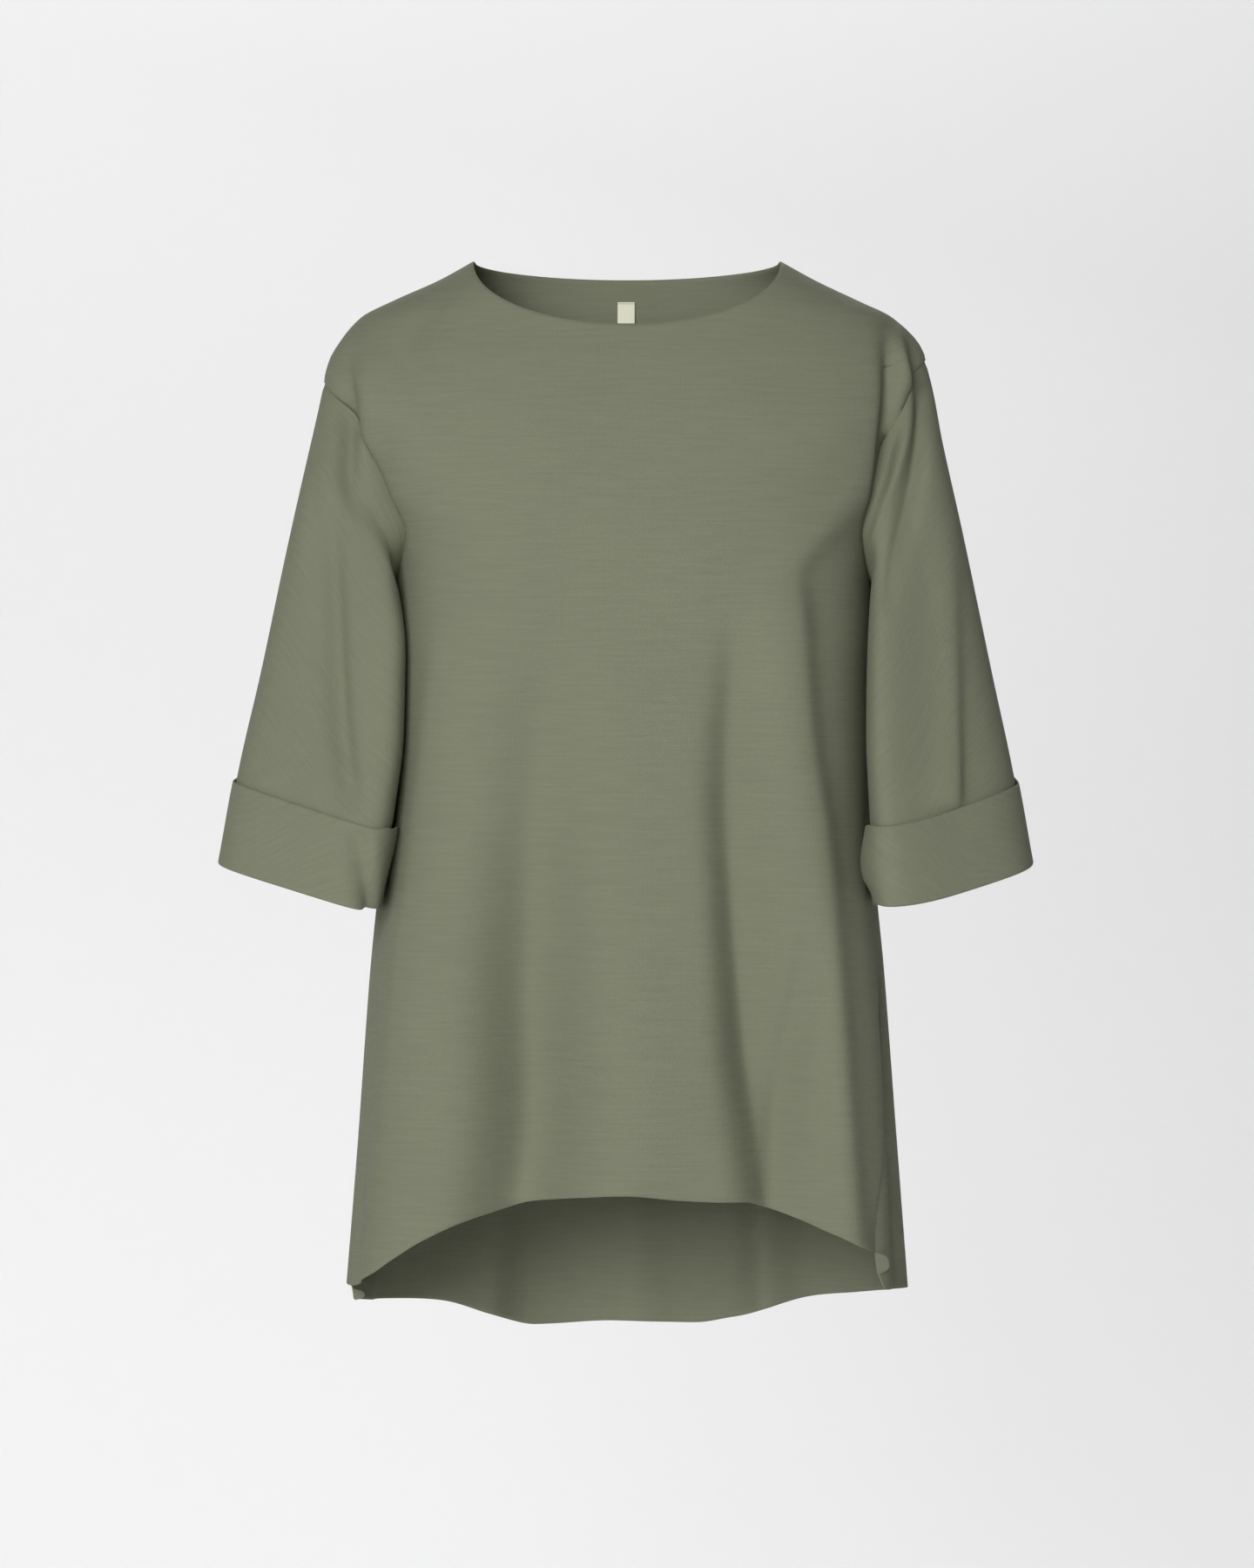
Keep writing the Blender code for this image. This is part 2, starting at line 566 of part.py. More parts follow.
def add_sleeve(name, side, grid, normals, shift, reach):
    """The tube's wall, turned round its lower edge and up again outside as the cuff."""
    outer = grid + shift
    inner = outer - normals * (CLOTH * reach)[..., None]
    end = grid[-1]
    end_normal = normals[-1]
    down = unit(grid[-1] - grid[-2])
    space = CUFF_SPACE / 2
    turn = np.linspace(0, np.pi, FOLD_ROWS + 2)[1:-1, None, None]
    centre = end + end_normal * space
    inside_turn = centre - end_normal * np.cos(turn) * space + down * np.sin(turn) * space
    far = space + CLOTH
    outside_turn = centre - end_normal * np.cos(turn) * far + down * np.sin(turn) * far
    cuff = grid[-1 - CUFF_ROWS :][::-1]
    cuff_normals = normals[-1 - CUFF_ROWS :][::-1]
    near = cuff + cuff_normals * CUFF_SPACE
    outside = near + cuff_normals * CLOTH
    add_wall(
        name,
        np.concatenate([outer, inside_turn, near]),
        np.concatenate([inner, outside_turn, outside]),
        True,
        side == LEFT,
        CLOTH_COLOUR,
        CLOTH_ROUGHNESS,
    )


def add_label():
    """A strip of label set just off the inner face of the back, leaning away from it towards its free end."""
    x = np.linspace(LABEL_LEFT_X, LABEL_RIGHT_X, LABEL_COLUMNS)
    z = np.linspace(LABEL_TOP, LABEL_BOTTOM, LABEL_ROWS)[:, None] + 0 * x
    middle = np.full(z.shape, np.pi)
    y = on_body(z, middle)[..., 1]
    slope = (on_body(z - SMALL_STEP, middle)[..., 1] - y) / SMALL_STEP
    stretch = np.sqrt(1 + slope**2)
    lean = LABEL_LEAN * np.linspace(0, 1, LABEL_ROWS)[:, None] ** 2
    far = y - (CLOTH + SEAM_GAP) * stretch - lean
    near = far - LABEL_THICKNESS * stretch
    across = x + 0 * z
    outer = np.stack([across, near, z], -1)
    inner = np.stack([across, far, z], -1)
    add_wall("neck_label", outer, inner, False, False, LABEL_COLOUR, LABEL_ROUGHNESS)


for old in list(bpy.data.objects):
    bpy.data.objects.remove(old)
bpy.context.scene.collection.children.link(bpy.data.collections.new(COLLECTION))
build()
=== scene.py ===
# %% [markdown]
# A t-shirt of soft plain jersey with turned-up cuffs, filled out as when worn, with nobody in it.
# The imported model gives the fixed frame: its nodes say where each piece of cloth is, in metres, with
# the front facing -Y and Z up. Every visible piece here stands for one of those nodes, or is sewn to it.

import bpy
import numpy as np
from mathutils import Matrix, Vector


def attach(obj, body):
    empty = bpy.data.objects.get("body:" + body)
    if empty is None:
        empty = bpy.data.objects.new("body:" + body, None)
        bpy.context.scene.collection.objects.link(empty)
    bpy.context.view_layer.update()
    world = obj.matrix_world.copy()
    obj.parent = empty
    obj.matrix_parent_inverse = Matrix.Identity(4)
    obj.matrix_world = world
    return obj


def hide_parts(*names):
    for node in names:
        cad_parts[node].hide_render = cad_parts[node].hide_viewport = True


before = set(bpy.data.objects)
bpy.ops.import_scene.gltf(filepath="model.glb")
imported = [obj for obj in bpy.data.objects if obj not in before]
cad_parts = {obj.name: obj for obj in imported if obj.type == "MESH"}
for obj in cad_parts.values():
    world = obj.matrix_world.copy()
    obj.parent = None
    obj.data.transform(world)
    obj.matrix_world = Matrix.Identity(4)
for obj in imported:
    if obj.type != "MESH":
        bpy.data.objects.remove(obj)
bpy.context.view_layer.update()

# %% [markdown]
# A worn top is a stack of level rings. Each row of the table is one ring: how far it reaches to the
# wearer's right and left, to the front and to the back, where its sides lie in Y, and how square its
# front and back are. A smooth curve through the rows gives every ring between, so a few measured
# rows make the whole drape. A cloth simulation would also hang the cloth, but it would need a body
# to hang on, and it would not stop at the outline that this garment has.

# %% Sizes of the garment, in metres
CLOTH = 0.0012
SEAM_GAP = 0.0002
RIGHT, LEFT = -1, 1
SIDES = ((RIGHT, "right", 0), (LEFT, "left", -1))
NECK_HALF_WIDTH = 0.1085
FRONT_NECK_DROP, BACK_NECK_DROP = 0.0504, 0.0055
FRONT_NECK_CURVE, BACK_NECK_CURVE = 0.46, 1.05

BODY_COLUMNS = (
    "height", "right_half", "left_half", "front", "back", "side_y", "right_power", "left_power", "back_power")
BODY_SECTIONS = (
    (0, 0.1085, 0.1085, 0.058, 0.076, 0, 2.2, 2.2, 2.3),
    (-0.014, 0.134, 0.134, 0.062, 0.0768, 0, 2.2, 2.2, 2.3),
    (-0.028, 0.1655, 0.1635, 0.067, 0.0785, 0, 2.2, 2.2, 2.3),
    (-0.04, 0.1885, 0.188, 0.0715, 0.082, 0, 2.25, 2.25, 2.3),
    (-0.061, 0.2057, 0.208, 0.081, 0.09, 0, 2.35, 2.35, 2.2),
    (-0.07, 0.2105, 0.211, 0.0855, 0.093, 0, 2.4, 2.4, 2.2),
    (-0.086, 0.214, 0.2105, 0.092, 0.098, 0, 2.5, 2.5, 2.2),
    (-0.117, 0.201, 0.203, 0.103, 0.105, 0, 2.7, 2.7, 2.2),
    (-0.164, 0.1805, 0.184, 0.1135, 0.11, 0, 2.7, 2.8, 2.2),
    (-0.2, 0.1665, 0.1725, 0.1185, 0.11, 0.01, 2.6, 2.85, 2.2),
    (-0.235, 0.1675, 0.1735, 0.121, 0.109, 0.027, 2.8, 2.9, 2.25),
    (-0.26, 0.169, 0.1745, 0.1215, 0.108, 0.032, 3, 3, 2.3),
    (-0.3, 0.1675, 0.1725, 0.1215, 0.107, 0.033, 3.2, 3.1, 2.3),
    (-0.36, 0.1685, 0.1725, 0.121, 0.108, 0.034, 3.3, 3.3, 2.4),
    (-0.43, 0.175, 0.1755, 0.1215, 0.112, 0.034, 3.4, 3.4, 2.5),
    (-0.5, 0.1815, 0.1815, 0.1225, 0.118, 0.027, 3.5, 3.7, 2.5),
    (-0.62, 0.19, 0.1905, 0.1265, 0.128, 0.025, 3.6, 3.6, 2.5),
    (-0.77, 0.202, 0.202, 0.132, 0.138, 0.023, 3.6, 3.3, 2.5),
)
ARMHOLE = {RIGHT: (-0.0856, -0.235), LEFT: (-0.0699, -0.229)}  # heights of its top and bottom
ARMHOLE_HALF_DEPTH, ARMHOLE_BOTTOM_Y = 0.055, -0.012
SIDE_SEAM = (
    (-0.23, -0.012, -0.012), (-0.4, -0.01, -0.02), (-0.6, -0.008, -0.062), (-0.688, -0.01, -0.09),
    (-0.704, -0.011, -0.089), (-0.722, -0.012, -0.08))
FRONT_HEM = (
    (-1, -0.7195), (-0.94, -0.719), (-0.88, -0.7184), (-0.82, -0.714), (-0.76, -0.7115), (-0.7, -0.706),
    (-0.64, -0.695), (-0.57, -0.6816), (-0.45, -0.6652), (-0.28, -0.654), (0, -0.6496), (0.24, -0.6527),
    (0.4, -0.654), (0.5, -0.6542), (0.58, -0.6576), (0.66, -0.6622), (0.74, -0.6688), (0.82, -0.6778),
    (0.9, -0.6864), (0.96, -0.6896), (1, -0.6902),
)
BACK_HEM = (
    (-1, -0.7312), (-0.9, -0.7348), (-0.8, -0.738), (-0.7, -0.7412), (-0.56, -0.745), (-0.45, -0.754),
    (-0.31, -0.765), (0, -0.7615), (0.2, -0.7638), (0.3, -0.7586), (0.38, -0.7494), (0.46, -0.742),
    (0.54, -0.7382), (0.62, -0.7335), (0.7, -0.7292), (0.8, -0.7246), (0.9, -0.7207), (1, -0.718),
)
print(len(BODY_SECTIONS), "rings,", len(FRONT_HEM), "points on the front hem,", len(BACK_HEM), "behind")


# %% Curves through a table
def smooth(at, xs, ys):
    """Value at `at` on a smooth curve through (xs, ys) that adds no bump of its own between two points."""
    xs, ys = np.asarray(xs, float), np.asarray(ys, float)
    if xs[0] > xs[-1]:
        xs, ys = xs[::-1], ys[::-1]
    step = np.diff(xs)
    slope = np.diff(ys) / step
    tangent = np.zeros(len(xs))
    tangent[0], tangent[-1] = slope[0], slope[-1]
    same_way = slope[:-1] * slope[1:] > 0
    mean = 2 * slope[:-1] * slope[1:] / np.where(same_way, slope[:-1] + slope[1:], 1.0)
    tangent[1:-1] = np.where(same_way, mean, 0.0)
    at = np.clip(at, xs[0], xs[-1])
    i = np.clip(np.searchsorted(xs, at) - 1, 0, len(step) - 1)
    t = (at - xs[i]) / step[i]
    rise = ys[i] * (1 + 2 * t) * (1 - t) ** 2 + ys[i + 1] * t * t * (3 - 2 * t)
    bend = tangent[i] * t * (1 - t) ** 2 - tangent[i + 1] * t * t * (1 - t)
    return rise + bend * step[i]


def ease(value):
    """0 below 0, 1 above 1, with a soft start and end between."""
    value = np.clip(value, 0.0, 1.0)
    return value * value * (3 - 2 * value)


# %% Rings of the body
def body(name, height):
    """One named measure of the body's ring at a height."""
    index = BODY_COLUMNS.index(name)
    return smooth(height, [row[0] for row in BODY_SECTIONS], [row[index] for row in BODY_SECTIONS])


def ring_shape(height, is_left, is_front):
    """Half width, Y of the sides, depth from there, and power, of the ring's left or right, front or back."""
    half = np.where(is_left, body("left_half", height), body("right_half", height))
    side_y = body("side_y", height)
    depth = np.where(is_front, body("front", height) + side_y, body("back", height) - side_y)
    front_power = np.where(is_left, body("left_power", height), body("right_power", height))
    return half, side_y, depth, np.where(is_front, front_power, body("back_power", height))


def on_body(height, angle):
    """Point on the body: the angle is 0 at the middle of the front, 90 degrees at +X, 180 at the back."""
    half, side_y, depth, power = ring_shape(height, angle >= 0, np.abs(angle) <= np.pi / 2)
    across = np.abs(np.sin(angle) / half) ** power + np.abs(np.cos(angle) / depth) ** power
    radius = across ** (-1 / power)
    return np.stack([radius * np.sin(angle), side_y - radius * np.cos(angle), height + 0 * radius], -1)


def body_normal(height, angle):
    """The way the body's surface faces, from two short steps on it: one round and one up."""
    turn, rise = 0.002, 0.0005
    round_it = on_body(height, angle + turn) - on_body(height, angle - turn)
    up = on_body(height + rise, angle) - on_body(height - rise, angle)
    return unit(np.cross(round_it, up))


def unit(vectors):
    return vectors / np.maximum(np.linalg.norm(vectors, axis=-1, keepdims=True), 1e-12)


def run_along(points, axis=0):
    """Length along each line of points, 0 at its first point."""
    step = np.linalg.norm(np.diff(points, axis=axis), axis=-1)
    return np.insert(np.cumsum(step, axis=axis), 0, 0.0, axis=axis)


def halve(low, high, is_above):
    """The value between low and high where is_above turns from false to true."""
    for _ in range(40):
        middle = (low + high) / 2
        above = is_above(middle)
        high, low = np.where(above, middle, high), np.where(above, low, middle)
    return (low + high) / 2


chest = on_body(np.full(400, -0.3), np.linspace(-np.pi, np.pi, 400))
print("girth at the chest", round(float(run_along(chest)[-1]), 3), "m")

# %% [markdown]
# The front and the back are two panels. Each is cut from the rings along the shoulder seam, the
# armhole and the side seam. A panel becomes a grid of points: the rows run from the neckline to the
# hem and the columns from seam to seam, close enough together to carry creases of a few millimetres.

# %% The panels as grids of points
SHOULDER_ROWS, ARMHOLE_ROWS, SIDE_ROWS, TAIL_ROWS = 30, 56, 104, 8
FRONT_COLUMNS, BACK_COLUMNS = 200, 160
NECK_REACH, HEM_START = 0.3, 0.4
FRONT_CHEST, BACK_CHEST, UNDERARM = -0.128, -0.105, -0.262


def shoulder_heights(side):
    """Heights of points evenly spaced along the shoulder seam."""
    heights = np.linspace(0, ARMHOLE[side][0], 400)
    line = on_body(heights, np.full(400, side * np.pi / 2))
    run = run_along(line)
    return np.interp(np.linspace(0, run[-1], SHOULDER_ROWS + 1), run, heights)


def panel_edge(side, is_front, end):
    """(heights, angles) of a panel's side edge: shoulder seam, then armhole, then side seam to its end."""
    top, bottom = ARMHOLE[side]
    middle, half = (top + bottom) / 2, (top - bottom) / 2
    turn = np.linspace(0, np.pi, ARMHOLE_ROWS + 1)[1:]
    arm_y = ARMHOLE_HALF_DEPTH * np.sin(turn) * (-1 if is_front else 1)
    arm_y = arm_y + ARMHOLE_BOTTOM_Y * (1 - np.cos(turn)) / 2
    seam_end = smooth(side, *zip(*FRONT_HEM))
    side_heights = np.linspace(bottom, seam_end, SIDE_ROWS + 1)[1:]
    if end < seam_end:
        side_heights = np.concatenate([side_heights, np.linspace(seam_end, end, TAIL_ROWS + 1)[1:]])
    seam = list(zip(*SIDE_SEAM))
    side_y = smooth(side_heights, seam[0], seam[2 if side == LEFT else 1])
    below = np.concatenate([middle + half * np.cos(turn), side_heights])
    below_y = np.concatenate([arm_y, side_y])
    low, high = np.full(len(below), 0.01), np.full(len(below), np.pi - 0.01)
    angles = halve(low, high, lambda angle: on_body(below, side * angle)[:, 1] > below_y)
    heights = np.concatenate([shoulder_heights(side), below])
    return heights, side * np.concatenate([np.full(SHOULDER_ROWS + 1, np.pi / 2), angles])


# %% Grids of the two panels
def neck_heights(angle, drop, curve):
    """Heights of the neckline. A curve of 0.5 is half an ellipse seen from the front, and 1 is an arc."""
    def inside(height):
        share = np.clip(1 - (on_body(height, angle)[..., 0] / NECK_HALF_WIDTH) ** 2, 0, 1)
        return -height < drop * share**curve
    return halve(np.full(angle.shape, -drop), np.zeros(angle.shape), inside)


def panel_grid(is_front):
    """Points of the front or back panel and the way each faces, a row at a time from neckline to hem."""
    columns, hem, drop, curve, chest_level = (
        (FRONT_COLUMNS, FRONT_HEM, FRONT_NECK_DROP, FRONT_NECK_CURVE, FRONT_CHEST)
        if is_front else (BACK_COLUMNS, BACK_HEM, BACK_NECK_DROP, BACK_NECK_CURVE, BACK_CHEST))
    across = np.linspace(-1, 1, columns + 1)
    edges = {side: panel_edge(side, is_front, smooth(side, *zip(*hem))) for side in (RIGHT, LEFT)}
    rows = len(edges[RIGHT][0])
    steps = (0, SHOULDER_ROWS, SHOULDER_ROWS + ARMHOLE_ROWS, rows - 1)
    middle = smooth(np.arange(rows), steps, (-drop, chest_level, UNDERARM, smooth(0.0, *zip(*hem))))
    heights, angles = np.zeros((rows, columns + 1)), np.zeros((rows, columns + 1))
    for side in (RIGHT, LEFT):
        mine = across * side >= 0
        share = np.abs(across[mine])
        keep = (1 - share**2) ** 2
        heights[:, mine] = edges[side][0][:, None] * (1 - keep) + middle[:, None] * keep
        start = 0.0 if is_front else side * np.pi
        angles[:, mine] = start + (edges[side][1][:, None] - start) * share
    down = np.linspace(0, 1, rows)[:, None]
    heights += (neck_heights(angles[0], drop, curve) - heights[0]) * np.clip(1 - down / NECK_REACH, 0, 1) ** 2
    hem_part = np.clip((down - HEM_START) / (1 - HEM_START), 0, 1) ** 2
    heights += (smooth(across, *zip(*hem)) - heights[-1]) * hem_part
    return on_body(heights, angles), body_normal(heights, angles)


grids, normals = {}, {}
grids["front_panel"], normals["front_panel"] = panel_grid(True)
grids["back_panel"], normals["back_panel"] = panel_grid(False)
print({name: grid.shape[:2] for name, grid in grids.items()})

# %% [markdown]
# A sleeve is a tube that starts on the armhole seam and hangs beside the body. Its table gives the
# outer line, the inner line and the depth at several shares of its length. The lower edge is turned
# up outside as a cuff, so the tube's wall goes down, round a small fold and up again.

# %% The sleeves as rings of points
SLEEVE_COLUMNS = ("along", "out_x", "out_y", "out_z", "in_x", "in_y", "in_z", "half_depth", "front_sag")
SLEEVE_SECTIONS = {
    RIGHT: (
        (0, 0.214, 0, -0.0856, 0.1628, -0.012, -0.235, 0.055, 0),
        (0.07, 0.2185, 0, -0.108, 0.1655, -0.016, -0.2365, 0.057, 0),
        (0.16, 0.2248, -0.001, -0.138, 0.158, -0.028, -0.244, 0.057, 0),
        (0.36, 0.2398, -0.005, -0.208, 0.152, -0.048, -0.28, 0.054, 0.001),
        (0.6, 0.2571, -0.012, -0.292, 0.1535, -0.055, -0.335, 0.054, 0.002),
        (0.8, 0.27, -0.02, -0.35, 0.16, -0.06, -0.387, 0.055, 0.003),
        (1, 0.2828, -0.03, -0.4215, 0.1715, -0.064, -0.455, 0.056, 0.003),
    ),
    LEFT: (
        (0, 0.211, 0, -0.0699, 0.1685, -0.012, -0.229, 0.055, 0),
        (0.07, 0.2168, 0, -0.095, 0.1715, -0.016, -0.2305, 0.057, 0),
        (0.16, 0.222, -0.001, -0.126, 0.1695, -0.026, -0.24, 0.057, 0),
        (0.36, 0.2378, 0, -0.2, 0.1665, -0.048, -0.277, 0.054, 0.001),
        (0.6, 0.256, -0.004, -0.288, 0.1655, -0.06, -0.335, 0.054, 0.003),
        (0.8, 0.269, -0.011, -0.35, 0.1675, -0.068, -0.387, 0.055, 0.005),
        (1, 0.2818, -0.02, -0.4205, 0.172, -0.072, -0.454, 0.056, 0.006),
    ),
}
SLEEVE_ROWS, CUFF_ROWS, FOLD_ROWS = 104, 26, 8
CUFF_HEIGHT = 0.0545
OUTER_LENGTH, INNER_LENGTH = 0.345, 0.224
END_PACE = 0.355
EDGE_LIFT = {RIGHT: ((160, 20, 0.0045), (140, 5, 0.0020)), LEFT: ((150, 30, 0.0070),)}
LOOP_BLEND = 0.45
CLEAR_OF_BODY, CLEAR_SOFTNESS = 0.002, 0.003
SLEEVE_POWER = 4.6
print("cuffs", CUFF_HEIGHT * 1000, "mm high")


# %% Rings of one sleeve
def normals_of(grid):
    """Unit normals of a tube's points, turned by the order of its rows and columns."""
    around = (np.roll(grid, -1, 1) - np.roll(grid, 1, 1)) / 2
    return unit(np.cross(np.gradient(grid, axis=0), around))


def sleeve_grid(side, loop):
    """Points of a sleeve down to its folded edge, and each point's run from the armhole."""
    count = len(loop)
    turn = 2 * np.pi * np.arange(count) / count
    run = OUTER_LENGTH + (INNER_LENGTH - OUTER_LENGTH) * (1 - np.cos(turn)) / 2
    cuff_top = 1 - CUFF_HEIGHT / END_PACE
    upper = np.linspace(0, 1, SLEEVE_ROWS + 1)[:, None] * cuff_top
    lower = cuff_top + np.linspace(0, 1, CUFF_ROWS + 1)[1:, None] * (1 - cuff_top)
    along = np.concatenate([upper, lower])
    table = SLEEVE_SECTIONS[side]
    read = {
        name: smooth(along, [row[0] for row in table], [row[i] for row in table])
        for i, name in enumerate(SLEEVE_COLUMNS)}
    power = 2 + (SLEEVE_POWER - 2) * ease(along / 0.3)
    reach = (np.abs(np.cos(turn)) ** power + np.abs(np.sin(turn)) ** power) ** (-1 / power)
    share, squared = (1 + reach * np.cos(turn)) / 2, reach * np.sin(turn)
    x, y, z = (read["in_" + a] + (read["out_" + a] - read["in_" + a]) * share for a in "xyz")
    y, z = y - read["half_depth"] * squared, z - read["front_sag"] * squared
    for place, width, rise in EDGE_LIFT[side]:
        z = z + rise * np.exp(-(((np.degrees(turn) - place) / width) ** 2)) * ease((along - 0.5) / 0.4)
    grid = np.stack([side * x, y, z], -1)
    grid += (loop - grid[0]) * (np.clip(1 - along / LOOP_BLEND, 0, 1) ** 2)[..., None]
    half, side_y, depth, power = ring_shape(z, side == LEFT, grid[..., 1] < body("side_y", z))
    deep = np.clip(np.abs(grid[..., 1] - side_y) / depth, 0, 0.98)
    needed = half * (1 - deep**power) ** (1 / power) + CLEAR_OF_BODY * ease(along / 0.5) - side * grid[..., 0]
    soft = CLEAR_SOFTNESS * np.log1p(np.exp(np.clip(needed / CLEAR_SOFTNESS, -30, 30)))
    grid[..., 0] += side * soft * ease(along / 0.25)
    return grid, along * run


# %% Sleeves set on their armholes
armhole_top, armhole_end = SHOULDER_ROWS, SHOULDER_ROWS + ARMHOLE_ROWS
sleeve_run = {}
for side, word, edge in SIDES:
    name = "sleeve_" + word
    line, back_line = grids["front_panel"][:, edge], grids["back_panel"][:, edge]
    back_line[: armhole_top + 1] = line[: armhole_top + 1]
    back_line[armhole_end:len(line)] = line[armhole_end:]
    loop = np.concatenate([line[armhole_top:armhole_end + 1], back_line[armhole_top + 1:armhole_end][::-1]])
    grids[name], sleeve_run[name] = sleeve_grid(side, loop)
print("sleeve rings", grids["sleeve_left"].shape[:2])

# %% [markdown]
# Pieces that are sewn together must lean the same way along their seam, or a crease would tear it
# open. So each seam point gets one shared normal, the mean of the pieces that meet there, before
# any crease lifts the cloth.

# %% Normals shared along the seams
for side, word, edge in SIDES:
    name = "sleeve_" + word
    normals[name] = -side * normals_of(grids[name])
    front, back = normals["front_panel"][:, edge], normals["back_panel"][:, edge]
    sleeve = normals[name][0]
    top, end, rows, count = armhole_top, armhole_end, len(front), len(sleeve)
    opposite = [0] + list(range(count - 1, ARMHOLE_ROWS - 1, -1))
    shared, back_shared = front.copy(), back.copy()
    shared[: top + 1] += back[: top + 1]
    shared[top:end + 1] += sleeve[: ARMHOLE_ROWS + 1]
    shared[end:] += back[end:rows]
    back_shared[: top + 1] = shared[: top + 1]
    back_shared[end:rows] = shared[end:]
    back_shared[top + 1:end] += sleeve[opposite[1:-1]]
    front[:], back[:] = unit(shared), unit(back_shared)
    sleeve[:] = np.concatenate([front[top:end + 1], back[top + 1:end][::-1]])
print("normals shared along", rows, "rows of each side")

# %% [markdown]
# The creases are what makes cloth look like cloth. Each one is a soft trough (height below 0) or
# ridge (above 0) that follows a path. A row of its table is one point of the path as the camera sees
# it: its place, the height there, and how wide the crease is on its left and its right, all in
# millimetres. A crisp side and a wide side make the uneven folds that real jersey has.

# %% Helpers for the creases
CAMERA_AWAY = 3.5
CAMERA_HEIGHT = -0.369


def as_seen(points):
    """Where points appear from the camera, in millimetres on the plane y = 0."""
    scale = CAMERA_AWAY / (CAMERA_AWAY + points[..., 1])
    return points[..., 0] * scale * 1000, ((points[..., 2] - CAMERA_HEIGHT) * scale + CAMERA_HEIGHT) * 1000


def creases(along, across, folds):
    """Height in metres of the named creases at (along, across): a path is a list of
    (along, across, height, width towards less, width towards more)."""
    total = np.zeros(along.shape)
    for path in folds.values():
        at, middle, height, less, more = (np.array(values, float) for values in zip(*path))
        away = across - smooth(along, at, middle)
        tilt = np.gradient(middle, at).mean()
        away = away / np.hypot(1, tilt)
        width = np.where(away < 0, smooth(along, at, less), smooth(along, at, more))
        reach = smooth(along, at, height)
        total += reach * np.exp(-((away / width) ** 2))
    return total / 1000


# %% Creases of the front panel
# Each row: height of the point, its place across, lift, width on its left, width on its right.
FRONT_FOLDS = {
    "left_trough": (
        (-260, -50, 0, 26, 22), (-295, -54, -5, 27, 26), (-338, -60, -10, 28, 30), (-400, -67, -19, 30, 36),
        (-450, -69, -27, 31, 40), (-523, -71, -37, 33, 42), (-597, -70, -43, 33, 43),
        (-665, -78, -44, 34, 40)),
    "left_trough_head": (
        (-190, -20, 0, 30, 24), (-235, -48, -3.0, 34, 22), (-300, -64, -3.5, 34, 20), (-380, -76, 0, 30, 18)),
    "right_trough": (
        (-245, 77, 0, 12, 16), (-295, 76, -7, 13, 20), (-338, 74, -11, 14, 23), (-370, 74, -14, 15, 26),
        (-450, 78, -19, 15, 30), (-523, 84, -24, 16, 36), (-570, 90, -27, 18, 37), (-610, 97, -26, 19, 37),
        (-665, 104, -23, 19, 35)),
    "outer_trough": (
        (-440, 132, 0, 10, 14), (-489, 129, -5, 10, 14), (-556, 119, -7, 11, 16), (-623, 112, -6, 12, 16),
        (-680, 108, -4, 12, 16)),
    "middle_swell": ((-250, -8, 0, 46, 46), (-420, -6, 4, 46, 46), (-660, -4, 6, 46, 46)),
    "bust_ridge": (
        (-150, 158, 0, 24, 12), (-185, 136, 3, 26, 12), (-222, 116, 6, 28, 12), (-260, 118, 9, 30, 12),
        (-340, 124, 9, 30, 12), (-400, 133, 9, 24, 12), (-470, 140, 10, 18, 12), (-550, 147, 10, 16, 12),
        (-700, 158, 10, 16, 12)),
    "armpit_drag": (
        (-130, 176, 0, 12, 10), (-165, 163, 4, 12, 10), (-195, 140, 3, 14, 12), (-220, 120, 0, 16, 12)),
    "left_edge_ridge": (
        (-230, -128, 0, 14, 40), (-300, -134, 5, 12, 40), (-400, -146, 6, 12, 40), (-520, -160, 6, 12, 34),
        (-700, -176, 5, 12, 30)),
}
print(len(FRONT_FOLDS), "creases on the front")

# %% Creases of the shoulders and sleeves
SHOULDER_FOLDS = {
    "left_arm_trough": (
        (-52, -201, 0, 8, 7), (-74, -200, -7, 8, 7), (-116, -197, -8, 8, 7), (-148, -197, -7, 8, 7),
        (-185, -192, 0, 8, 8)),
    "left_arm_ridge": (
        (-60, -190, 0, 7, 8), (-90, -188, 3, 7, 8), (-120, -185, 3, 7, 8), (-155, -184, 0, 7, 7)),
    "left_neck_drag": (
        (-8, -118, 0, 9, 8), (-26, -132, -1.5, 9, 7), (-52, -150, -1.5, 9, 7), (-76, -160, 0, 9, 8)),
    "left_shoulder_drag": (
        (-54, -172, 0, 8, 6), (-72, -156, -2, 9, 6), (-96, -146, -1.5, 9, 7), (-130, -140, 0, 9, 8)),
    "right_arm_crease": (
        (-34, 189, 0, 7, 6), (-56, 188, -6, 7, 5), (-90, 188, -10, 6, 5), (-122, 186, -11, 6, 5),
        (-148, 182, -7, 6, 5), (-168, 178, 0, 7, 6)),
    "right_cap_ridge": ((-42, 191, 0, 5, 5), (-60, 194, 4, 5, 5), (-78, 198, 4, 5, 5), (-94, 200, 0, 5, 5)),
    "right_cap_trough": (
        (-40, 199, 0, 5, 5), (-56, 201, -4, 5, 5), (-76, 205, -6, 5, 5), (-94, 208, -4, 5, 5),
        (-112, 208, 0, 5, 5)),
}
